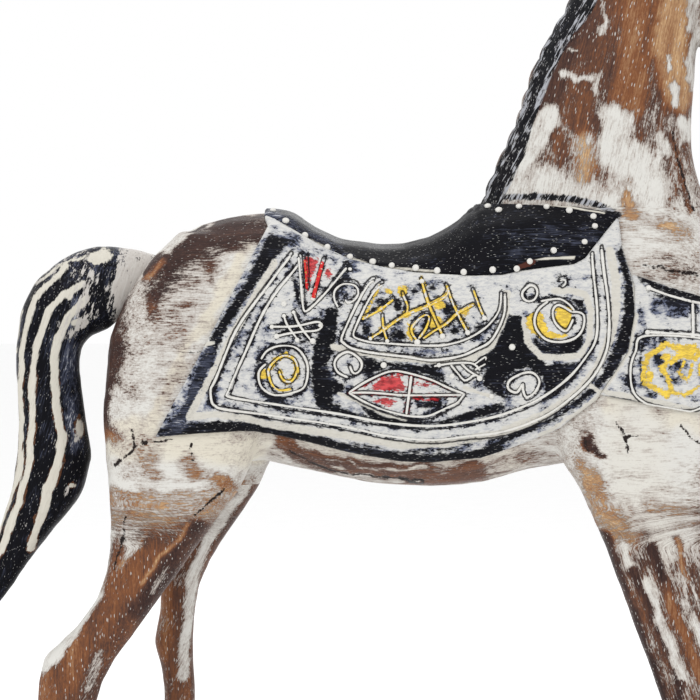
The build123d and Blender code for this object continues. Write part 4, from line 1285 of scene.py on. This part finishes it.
def dress_wood(obj, node):
    """Stores the paint and grain fields of a carved body block."""
    points = coordinates(obj.data)
    white, tone, warm = whitewash(points, node)
    if node == "head":
        eye = disc_distance(points[:, 0], points[:, 2], EYE)
        white = white + smoothstep(1.7, 1.0, eye) * (1.15 - white)
    coarse = np.full(len(points), 0.0 if "torso" in node else 1.0)
    for name, values in zip(("grain", "strand", "stroke"), grain_fields(points, node)):
        store(obj.data, name, values)
    for name, values in (("white", white), ("tone", tone), ("warm", warm),
                         ("coarse", coarse), ("black", black_areas(points, node)),
                         ("crack", cracks(points))):
        store(obj.data, name, values)


for node in BODY_NODES + ("ear_right", "ear_left"):
    dress_wood(pieces[node], node)

TAIL_SPOTS = [
    (-115, 292.6, 5.2, 2.6), (-124.5, 220, 1.6, 4.2), (-127, 194.8, 1.4, 1.4),
    (-124.5, 263.5, 2.2, 1.4), (-128, 275, 1.6, 2.2),
]
# how strong the blue-grey drybrushing and painted sheen are along the black tail
TAIL_DRYBRUSH_AND_SHEEN = [
    (0.85, 3, 3, [(-125, 272), (-129, 240), (-126, 212)]),
    (0.75, 3, 2, [(-147, 285), (-151, 262), (-153, 240)]),
    (0.6, 8, 5, [(-144, 288), (-130, 293), (-112, 290)]),
]
TAIL_WHITE = [
    (0.42, 6, 5, [(-149, 278), (-138, 290), (-122, 296)]),
    (0.46, 6, 5, [(-120, 284), (-121, 268), (-128, 260)]),
    (0.88, 8, 4, [(-99, 292), (-103, 277), (-100, 258)]), (0.4, 2.5, 2, [(-124.5, 222), (-127, 214)]),
    (0.45, 1.5, 2, [(-127, 197), (-129, 190)]),
]
mesh = pieces["tail"].data
points = coordinates(mesh)
x, z = swayed(points, 1.0)
store(mesh, "grain", along(points, (0.3, 1.0)))
stripe = tail_stripes(x, z)
for disc in TAIL_SPOTS:
    stripe = np.minimum(stripe, disc_distance(x, z, disc))
store(mesh, "cream", stripe)
store(mesh, "dry", field(x, z, 0.3, TAIL_DRYBRUSH_AND_SHEEN))
store(mesh, "white", field(x, z, 0.0, TAIL_WHITE))
store(mesh, "brown", smoothstep(262, 225, z))

# --- materials ---------------------------------------------------------------


def paint(red, green, blue):
    """A screen colour from 0 to 255 as the linear colour of a material."""
    linear = [(v / 255 / 12.92) if v < 10 else ((v / 255 + 0.055) / 1.055) ** 2.4
              for v in (red, green, blue)]
    return (*linear, 1.0)


class Shader:
    """A material under construction."""

    def __init__(self, name, specular=0.2):
        self.material = bpy.data.materials.new(name)
        self.material.use_nodes = True
        self.nodes = self.material.node_tree.nodes
        self.links = self.material.node_tree.links
        self.surface = self.nodes["Principled BSDF"]
        self.surface.inputs["Specular IOR Level"].default_value = specular

    def put(self, socket, value):
        """Links a socket's value or sets a constant."""
        if isinstance(value, bpy.types.NodeSocket):
            self.links.new(value, socket)
        else:
            socket.default_value = value

    def attribute(self, name):
        """A field stored on the mesh."""
        node = self.nodes.new("ShaderNodeAttribute")
        node.attribute_name = name
        return node.outputs["Vector" if name in ("grain", "strand", "stroke") else "Fac"]

    def math(self, operation, a, b=0.0, c=0.0):
        """A math node's result."""
        node = self.nodes.new("ShaderNodeMath")
        node.operation = operation
        for socket, value in zip(node.inputs, (a, b, c)):
            self.put(socket, value)
        return node.outputs[0]

    def times(self, a, b):
        """The product of two values."""
        return self.math("MULTIPLY", a, b)

    def stretched(self, vector, sizes, shift=0.0):
        """A vector divided by sizes and shifted."""
        node = self.nodes.new("ShaderNodeVectorMath")
        node.operation = "MULTIPLY_ADD"
        self.put(node.inputs[0], vector)
        node.inputs[1].default_value = [1 / size for size in sizes]
        node.inputs[2].default_value = (shift, shift * 0.7, shift * 1.3)
        return node.outputs[0]

    def noise(self, vector, sizes, detail=3.0, rough=0.55, shift=0.0):
        """Fine noise stretched to sizes in mm along three axes."""
        node = self.nodes.new("ShaderNodeTexNoise")
        self.put(node.inputs["Vector"], self.stretched(vector, sizes, shift))
        node.inputs["Scale"].default_value = 1.0
        node.inputs["Detail"].default_value = detail
        node.inputs["Roughness"].default_value = rough
        return node.outputs["Fac"]

    def dashes(self, vector, sizes, shift=0.0, thick=0.2):
        """One at short strokes along the grain, zero between them."""
        node = self.nodes.new("ShaderNodeTexVoronoi")
        self.put(node.inputs["Vector"], self.stretched(vector, sizes, shift))
        node.inputs["Scale"].default_value = 1.0
        return self.step(node.outputs["Distance"], thick, thick * 0.6)

    def step(self, value, low, high):
        """0 at low and 1 at high, softly; low may be the larger."""
        node = self.nodes.new("ShaderNodeMapRange")
        node.interpolation_type = "SMOOTHSTEP"
        if low > high:
            low, high = high, low
            node.inputs["To Min"].default_value = 1.0
            node.inputs["To Max"].default_value = 0.0
        self.put(node.inputs["Value"], value)
        node.inputs["From Min"].default_value = low
        node.inputs["From Max"].default_value = high
        return node.outputs[0]

    def mix(self, share, a, b):
        """Mixes two colours."""
        node = self.nodes.new("ShaderNodeMix")
        node.data_type = "RGBA"
        self.put(node.inputs[0], share)
        self.put(node.inputs[6], a)
        self.put(node.inputs[7], b)
        return node.outputs[2]

    def blend(self, share, a, b):
        """Mixes two numbers."""
        node = self.nodes.new("ShaderNodeMix")
        self.put(node.inputs[0], share)
        self.put(node.inputs[2], a)
        self.put(node.inputs[3], b)
        return node.outputs[0]

    def ramp(self, value, stops):
        """The colour at a value between (place, colour) stops."""
        node = self.nodes.new("ShaderNodeValToRGB")
        self.put(node.inputs[0], value)
        band = node.color_ramp.elements
        while len(band) < len(stops):
            band.new(0.5)
        for element, (place, colour) in zip(band, stops):
            element.position = place
            element.color = colour
        return node.outputs[0]

    def centred(self, value, gain):
        """A noise turned round zero and scaled."""
        return self.math("MULTIPLY_ADD", value, gain, -0.5 * gain)

    def total(self, *values):
        """The sum of some values."""
        result = values[0]
        for value in values[1:]:
            result = self.math("ADD", result, value)
        return result

    def finish(self, colour, rough, height, depth):
        """Sets the surface; depth is the height of the bumps in mm."""
        bump = self.nodes.new("ShaderNodeBump")
        bump.inputs["Distance"].default_value = depth * MM
        self.put(bump.inputs["Height"], height)
        self.put(self.surface.inputs["Base Color"], colour)
        self.put(self.surface.inputs["Roughness"], rough)
        self.put(self.surface.inputs["Normal"], bump.outputs[0])
        return self.material


WOOD_RAMP = [(0.0, paint(36, 24, 22)), (0.20, paint(56, 37, 33)), (0.38, paint(84, 56, 44)),
             (0.56, paint(122, 76, 47)), (0.72, paint(150, 112, 80)), (0.86, paint(178, 142, 104)),
             (1.0, paint(212, 182, 142))]
WHITE, THIN_WHITE, CREAM = paint(208, 207, 203), paint(160, 149, 141), paint(210, 203, 186)
# SLATE is the blue-grey of the drybrushing and painted sheen on black paint
BLACK, SLATE = paint(12, 12, 17), paint(82, 87, 106)
YELLOW, RED = paint(232, 200, 80), paint(198, 38, 42)


def wood_colour(s, grain, tone):
    """The colour of bare wood, and its fibres for the bump."""
    fibres = s.noise(grain, (30, 0.7, 0.7), 5, 0.65)
    bands = s.noise(grain, (50, 8, 8), 3, shift=3.1)
    grit = s.noise(grain, (2.2, 0.8, 0.8), 4, 0.7, 5.1)
    level = s.total(tone, s.centred(fibres, 0.6), s.centred(bands, 0.5), s.centred(grit, 0.45))
    return s.ramp(level, WOOD_RAMP), fibres


def black_over(s, grain, colour, mask, dry, pores, strong=0.75):
    """Black paint with blue-grey drybrushing and a painted blue-grey sheen, and pale pores."""
    brush = s.noise(grain, (8, 0.6, 0.6), 5, 0.65, shift=7.7)
    cloud = s.noise(grain, (14, 5, 5), 4, 0.65, shift=2.9)
    level = s.total(s.centred(brush, 2.2), s.centred(cloud, 1.6), dry)
    # blue-grey, then light grey at the highest level: drybrushing and painted sheen over the black
    dark = s.mix(s.step(level, 0.35, 1.30), BLACK, SLATE)
    dark = s.mix(s.step(level, 0.98, 1.22), dark, paint(176, 178, 184))
    dark = s.mix(s.times(pores, strong), dark, paint(184, 183, 180))
    return s.mix(mask, colour, dark)


def ragged(s, grain, name, spread, sizes=(2.4, 1.5, 1.5), shift=0.0, soft=0.25):
    """The mask of a painted shape with a hand-made edge."""
    wobble = s.centred(s.noise(grain, sizes, 5, 0.7, shift), spread)
    return s.step(s.total(s.attribute(name), wobble), soft, -soft)


def painted_wood(name):
    """Brown wood with pale pores, rubbed whitewash, cracks and black paint."""
    s = Shader(name, 0.14)
    grain, strand, coarse = map(s.attribute, ("grain", "strand", "coarse"))
    wood, fibres = wood_colour(s, grain, s.attribute("tone"))
    stroke = s.attribute("stroke")
    brush = s.noise(stroke, (8, 0.6, 0.6), 6, 0.68, shift=1.3)
    blotch = s.noise(stroke, (13, 6, 6), 6, 0.68, shift=4.9)
    grit = s.noise(grain, (1.1, 0.9, 0.9), 4, 0.7, shift=2.7)
    level = s.total(s.attribute("white"), s.centred(brush, 1.4), s.centred(blotch, 1.3),
                    s.centred(grit, 0.7))
    cover = s.step(level, 0.38, 0.62)
    thick = s.step(level, 0.46, 1.05)
    white = s.mix(thick, THIN_WHITE, s.mix(s.attribute("warm"), WHITE, CREAM))
    large = s.dashes(grain, (4.6, 1.0, 1.0), thick=0.225)
    small = s.dashes(grain, (2.8, 0.72, 0.72), 4.1, 0.2)
    pores = s.blend(coarse, s.times(small, 0.7), large)
    wood = s.mix(s.times(pores, 0.85), wood, paint(196, 192, 186))
    specks = s.step(s.total(s.centred(grit, 1.0), s.centred(blotch, 0.9)), 0.30, 0.42)
    white = s.mix(s.times(specks, 0.75), white, paint(92, 82, 76))
    colour = s.mix(cover, wood, white)
    mane = ragged(s, strand, "black", 4.5, (9, 1.2, 1.2), 5.5, 0.35)
    scratch = s.noise(strand, (14, 0.8, 0.8), 5, 0.62, 6.2)
    bald = s.noise(strand, (8, 3.5, 3.5), 3, 0.6, 8.8)
    edge = s.times(s.step(s.attribute("black"), -4.5, 0.0), 0.16)
    scratch = s.step(s.total(s.centred(scratch, 2.0), s.centred(bald, 2.0), edge), 0.14, 0.34)
    mane = s.times(mane, s.math("SUBTRACT", 1.0, s.times(scratch, 0.9)))
    under = s.mix(s.times(scratch, s.step(s.attribute("black"), 0.5, -0.5)),
                  colour, paint(170, 172, 178))
    # the mane's black, with a little blue-grey drybrushing and painted sheen
    colour = black_over(s, strand, under, mane, 0.1, s.times(small, coarse))
    jitter = s.centred(s.noise(grain, (2.2, 2.2, 2.2), 5, 0.7), 3.0)
    crack = s.step(s.total(s.attribute("crack"), jitter), 0.56, 0.24)
    colour = s.mix(crack, colour, paint(34, 26, 24))
    rough = s.blend(cover, 0.46, 0.62)
    height = s.total(s.times(cover, 0.5), s.times(brush, 0.7),
                     s.times(fibres, 0.4), s.times(crack, -0.9),
                     s.times(pores, -0.3))
    return s.finish(colour, rough, height, 0.24)


def saddlery_paint(name):
    """White paint with black, cream, yellow and red shapes, dark specks, and painted shade in the
    hollows beside the piping.
    """
    s = Shader(name, 0.08)
    grain = s.attribute("grain")
    dry, groove = s.attribute("dry"), s.attribute("groove")
    brush = s.noise(grain, (3.0, 0.9, 0.9), 6, 0.68, shift=2.2)
    fleck = s.noise(grain, (1.5, 0.9, 0.9), 6, 0.72, shift=6.1)
    smudge = s.noise(grain, (6, 4.0, 4.0), 4, 0.65, shift=8.1)
    # nearness to the piping; it darkens the paint beside the piping as painted shade
    near_piping_shade = s.step(groove, 2.6, 0.9)
    halo = s.step(s.attribute("black"), 4.5, 0.4)
    base = s.mix(s.step(brush, 0.34, 0.56), paint(176, 177, 180), paint(204, 203, 199))
    # blue-grey grime and drybrushing over the white, with a little painted shade near the piping
    dirt_and_shade = s.total(dry, s.centred(brush, 2.0), s.centred(smudge, 3.0),
                   s.times(halo, 0.42), s.times(near_piping_shade, 0.12))
    colour = s.mix(s.step(dirt_and_shade, 0.40, 1.15), base, paint(98, 104, 124))
    cream = ragged(s, grain, "cream", 2.2, (5, 1.3, 1.3), 3.3, 0.3)
    cream = s.times(cream, s.step(s.centred(fleck, 1.0), -0.16, -0.08))
    colour = s.mix(cream, colour, s.mix(brush, paint(178, 174, 164), paint(214, 211, 203)))
    pores = s.dashes(grain, (3.0, 0.62, 0.62), 1.9, 0.2)
    # Dark specks are left where the brush ran out, and painted shade darkens the hollows beside the
    # piping.
    ink_and_shade = s.total(s.centred(fleck, 2.3), s.centred(smudge, 2.0),
                  s.times(near_piping_shade, 0.34), s.times(dry, 0.50),
                  s.times(halo, 0.24))
    ink_and_shade = s.times(s.step(ink_and_shade, 0.54, 0.70),
                 s.math("SUBTRACT", 1.0, s.times(cream, 0.85)))
    colour = s.mix(ink_and_shade, colour, paint(24, 25, 32))
    black = ragged(s, grain, "black", 5.0, (2.8, 1.2, 1.2), 5.5, 0.45)
    black = s.times(black, s.math("SUBTRACT", 1.0, cream))
    # the black shapes, with blue-grey drybrushing and painted sheen
    colour = black_over(s, grain, colour, black, s.times(dry, 0.9), pores, 0.5)
    yellow = ragged(s, grain, "yellow", 4.8, (1.6, 1.3, 1.3), 6.6)
    light = s.step(brush, 0.42, 0.58)
    colour = s.mix(yellow, colour, s.mix(light, paint(196, 166, 74), YELLOW))
    red = ragged(s, grain, "red", 5.5, (1.8, 1.0, 1.0), 7.4)
    colour = s.mix(s.times(red, 0.93), colour,
                   s.mix(light, paint(140, 20, 26), paint(204, 58, 62)))
    # painted shade: a thin dark band in the crevice along the foot of each piping
    wander = s.centred(s.noise(grain, (2.5, 2.5, 2.5), 4, 0.65, 4.4), 1.1)
    away = s.total(groove, wander)
    line = s.times(s.step(away, 0.30, 0.50), s.step(away, 1.20, 0.86))
    colour = s.mix(s.times(line, 0.92), colour, paint(28, 26, 29))
    rough = s.blend(black, 0.58, 0.42)
    height = s.total(s.times(brush, 0.9), s.times(black, -0.3),
                     s.times(yellow, 0.5), s.times(red, 0.5),
                     s.times(line, -1.2), s.times(ink_and_shade, -0.4))
    return s.finish(colour, rough, height, 0.22)


def black_paint(name, striped):
    """The seat's and the tail's black paint, with cream lines over it."""
    s = Shader(name, 0.06)
    grain = s.attribute("grain")
    pores = s.dashes(grain, (3.0, 0.64, 0.64), 1.9, 0.19)
    brush = s.noise(grain, (10, 0.9, 0.9), 5, 0.68, 3.7)
    # the black, with blue-grey drybrushing and painted sheen where the field is high
    colour = black_over(s, grain, BLACK, 1.0, s.attribute("dry"), pores, 0.7)
    cream = ragged(s, grain, "cream", 2.6 if striped else 0.9, (7, 1.1, 1.1), 3.3, 0.25)
    pale = s.mix(brush, paint(184, 179, 166), paint(216, 212, 202))
    colour = s.mix(cream, colour, pale)
    if striped:
        smear = s.noise(grain, (7, 3, 3), 5, 0.7, 6.4)
        worn = s.total(s.attribute("white"), s.centred(brush, 1.6), s.centred(smear, 2.2))
        colour = s.mix(s.step(worn, 0.45, 0.62), colour, s.mix(brush, THIN_WHITE, WHITE))
        rim = s.step(s.total(s.attribute("cream"), s.centred(smear, 5.0)), 0.5, 0.0)
        rim = s.times(rim, s.math("SUBTRACT", s.attribute("brown"), cream))
        colour = s.mix(s.step(rim, 0.2, 0.8), colour, paint(84, 56, 40))
    else:
        wear = ragged(s, grain, "red", 1.5, (3, 1, 1), 8.8)
        colour = s.mix(wear, colour, paint(78, 44, 36))
    rough = s.blend(cream, 0.40, 0.6)
    height = s.total(s.times(brush, 0.7), s.times(cream, 0.5),
                     s.times(pores, 0.5))
    return s.finish(colour, rough, height, 0.22)


def raised_paint(name):
    """The squeezed lines and dots; the tint is 0 for white, 1 yellow and 2 red."""
    s = Shader(name, 0.15)
    grain = s.attribute("grain")
    tint = s.attribute("tint")
    wear = s.noise(grain, (2.0, 2.0, 2.0), 4, 0.6, 1.1)
    stain = s.noise(grain, (1.6, 1.2, 1.2), 5, 0.7, 4.6)
    colour = s.mix(wear, paint(196, 193, 186), paint(228, 227, 223))
    share = s.times(s.step(tint, 0.5, 0.6), s.step(wear, 0.42, 0.50))
    colour = s.mix(share, colour, s.mix(s.step(stain, 0.4, 0.55), paint(202, 172, 78), YELLOW))
    share = s.times(s.step(tint, 1.5, 1.6), s.step(stain, 0.36, 0.44))
    colour = s.mix(share, colour, RED)
    colour = s.mix(s.step(stain, 0.64, 0.70), colour, paint(58, 57, 62))
    return s.finish(colour, s.blend(wear, 0.45, 0.6), wear, 0.12)


def bare_wood(name):
    """The dowels' plain wood, in metres."""
    s = Shader(name)
    geometry = s.nodes.new("ShaderNodeTexCoord").outputs["Object"]
    fibres = s.noise(geometry, (0.02, 0.0008, 0.0008), 3)
    colour = s.ramp(fibres, WOOD_RAMP[2:])
    return s.finish(colour, s.blend(fibres, 0.6, 0.75), fibres, 0.1)


SLOTS = {
    "whitewashed_wood": painted_wood("whitewashed_wood"),
    "leg_wood": painted_wood("leg_wood"),
    "tail_paint": black_paint("tail_paint", True),
    "seat_paint": black_paint("seat_paint", False),
    "blanket_paint": saddlery_paint("blanket_paint"),
    "dowel_wood": bare_wood("dowel_wood"),
}
PIPING_MATERIAL = raised_paint("raised_paint")
NODE_SLOTS = {
    "tail": "tail_paint",
    "saddle_seat": "seat_paint",
    "breast_strap": "blanket_paint",
    "blanket_right": "blanket_paint",
    "blanket_left": "blanket_paint",
}
for node, obj in pieces.items():
    slot = NODE_SLOTS.get(node, "leg_wood" if "leg" in node else "whitewashed_wood")
    obj.data.materials.append(SLOTS[slot])
for obj in trims:
    obj.data.materials.append(PIPING_MATERIAL)
for node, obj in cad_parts.items():
    if "dowel" in node:
        obj.data.materials.clear()
        obj.data.materials.append(SLOTS["dowel_wood"])

# --- stage -------------------------------------------------------------------


def lamp(name, place, target, size, power):
    """A round area light that points at target."""
    light = bpy.data.lights.new(name, "AREA")
    light.shape = "DISK"
    light.size = size
    light.energy = power
    obj = bpy.data.objects.new(name, light)
    obj.location = place
    obj.rotation_euler = (Vector(target) - Vector(place)).to_track_quat("-Z", "Y").to_euler()
    bpy.context.scene.collection.objects.link(obj)


FLOOR_REACH = 6.0
FLOOR_DROP = 0.0006  # keeps the floor clear of the hooves' soles
floor_mesh = bpy.data.meshes.new("floor")
corners = [(-1, -1), (1, -1), (1, 1), (-1, 1)]
floor_mesh.from_pydata([(x * FLOOR_REACH, y * FLOOR_REACH, 0) for x, y in corners], [],
                       [(0, 1, 2, 3)])
floor = new_object("floor", floor_mesh)
floor.location.z = -FLOOR_DROP
paper = Shader("floor_paper")
spot = paper.nodes.new("ShaderNodeTexCoord").outputs["Object"]
flecks = paper.noise(spot, (0.02, 0.02, 0.02), 3)
shade = paper.mix(flecks, paint(248, 248, 248), paint(252, 252, 252))
floor.data.materials.append(paper.finish(shade, 0.9, flecks, 0.05))

world = bpy.data.worlds.new("studio")
world.use_nodes = True
background = world.node_tree.nodes["Background"]
background.inputs["Color"].default_value = (1, 1, 1, 1)
background.inputs["Strength"].default_value = 1.0
scene = bpy.context.scene
scene.world = world
scene.view_settings.view_transform = "Standard"
AIM = (-0.0095, 0, 0.252)  # the middle of the picture
LAMPS = [  # name, place, size, power
    ("key", (-0.9, -1.5, 1.5), 0.8, 9), ("fill", (1.5, -1.2, 0.7), 1.0, 2),
    ("top", (0.1, 0.3, 1.9), 1.2, 6), ("back", (0.4, 1.7, 1.0), 1.0, 5),
]
for name, place, size, power in LAMPS:
    lamp(name, place, AIM, size, power)

DISTANCE = 2.4
ELEVATION = math.radians(2.5)
SEEN_WIDTH = 0.294  # of the picture, at the near flank
FLANK = 0.02  # the near flank is this much nearer than the middle
SENSOR = 36
lens = bpy.data.cameras.new("camera")
lens.sensor_width = SENSOR
lens.lens = SENSOR * (DISTANCE - FLANK) / SEEN_WIDTH
lens.clip_start, lens.clip_end = 0.05, 30
camera = bpy.data.objects.new("camera", lens)
camera.location = (
    AIM[0], -DISTANCE * math.cos(ELEVATION), AIM[2] + DISTANCE * math.sin(ELEVATION)
)
camera.rotation_euler = (math.pi / 2 - ELEVATION, 0, 0)
scene.collection.objects.link(camera)
scene.camera = camera
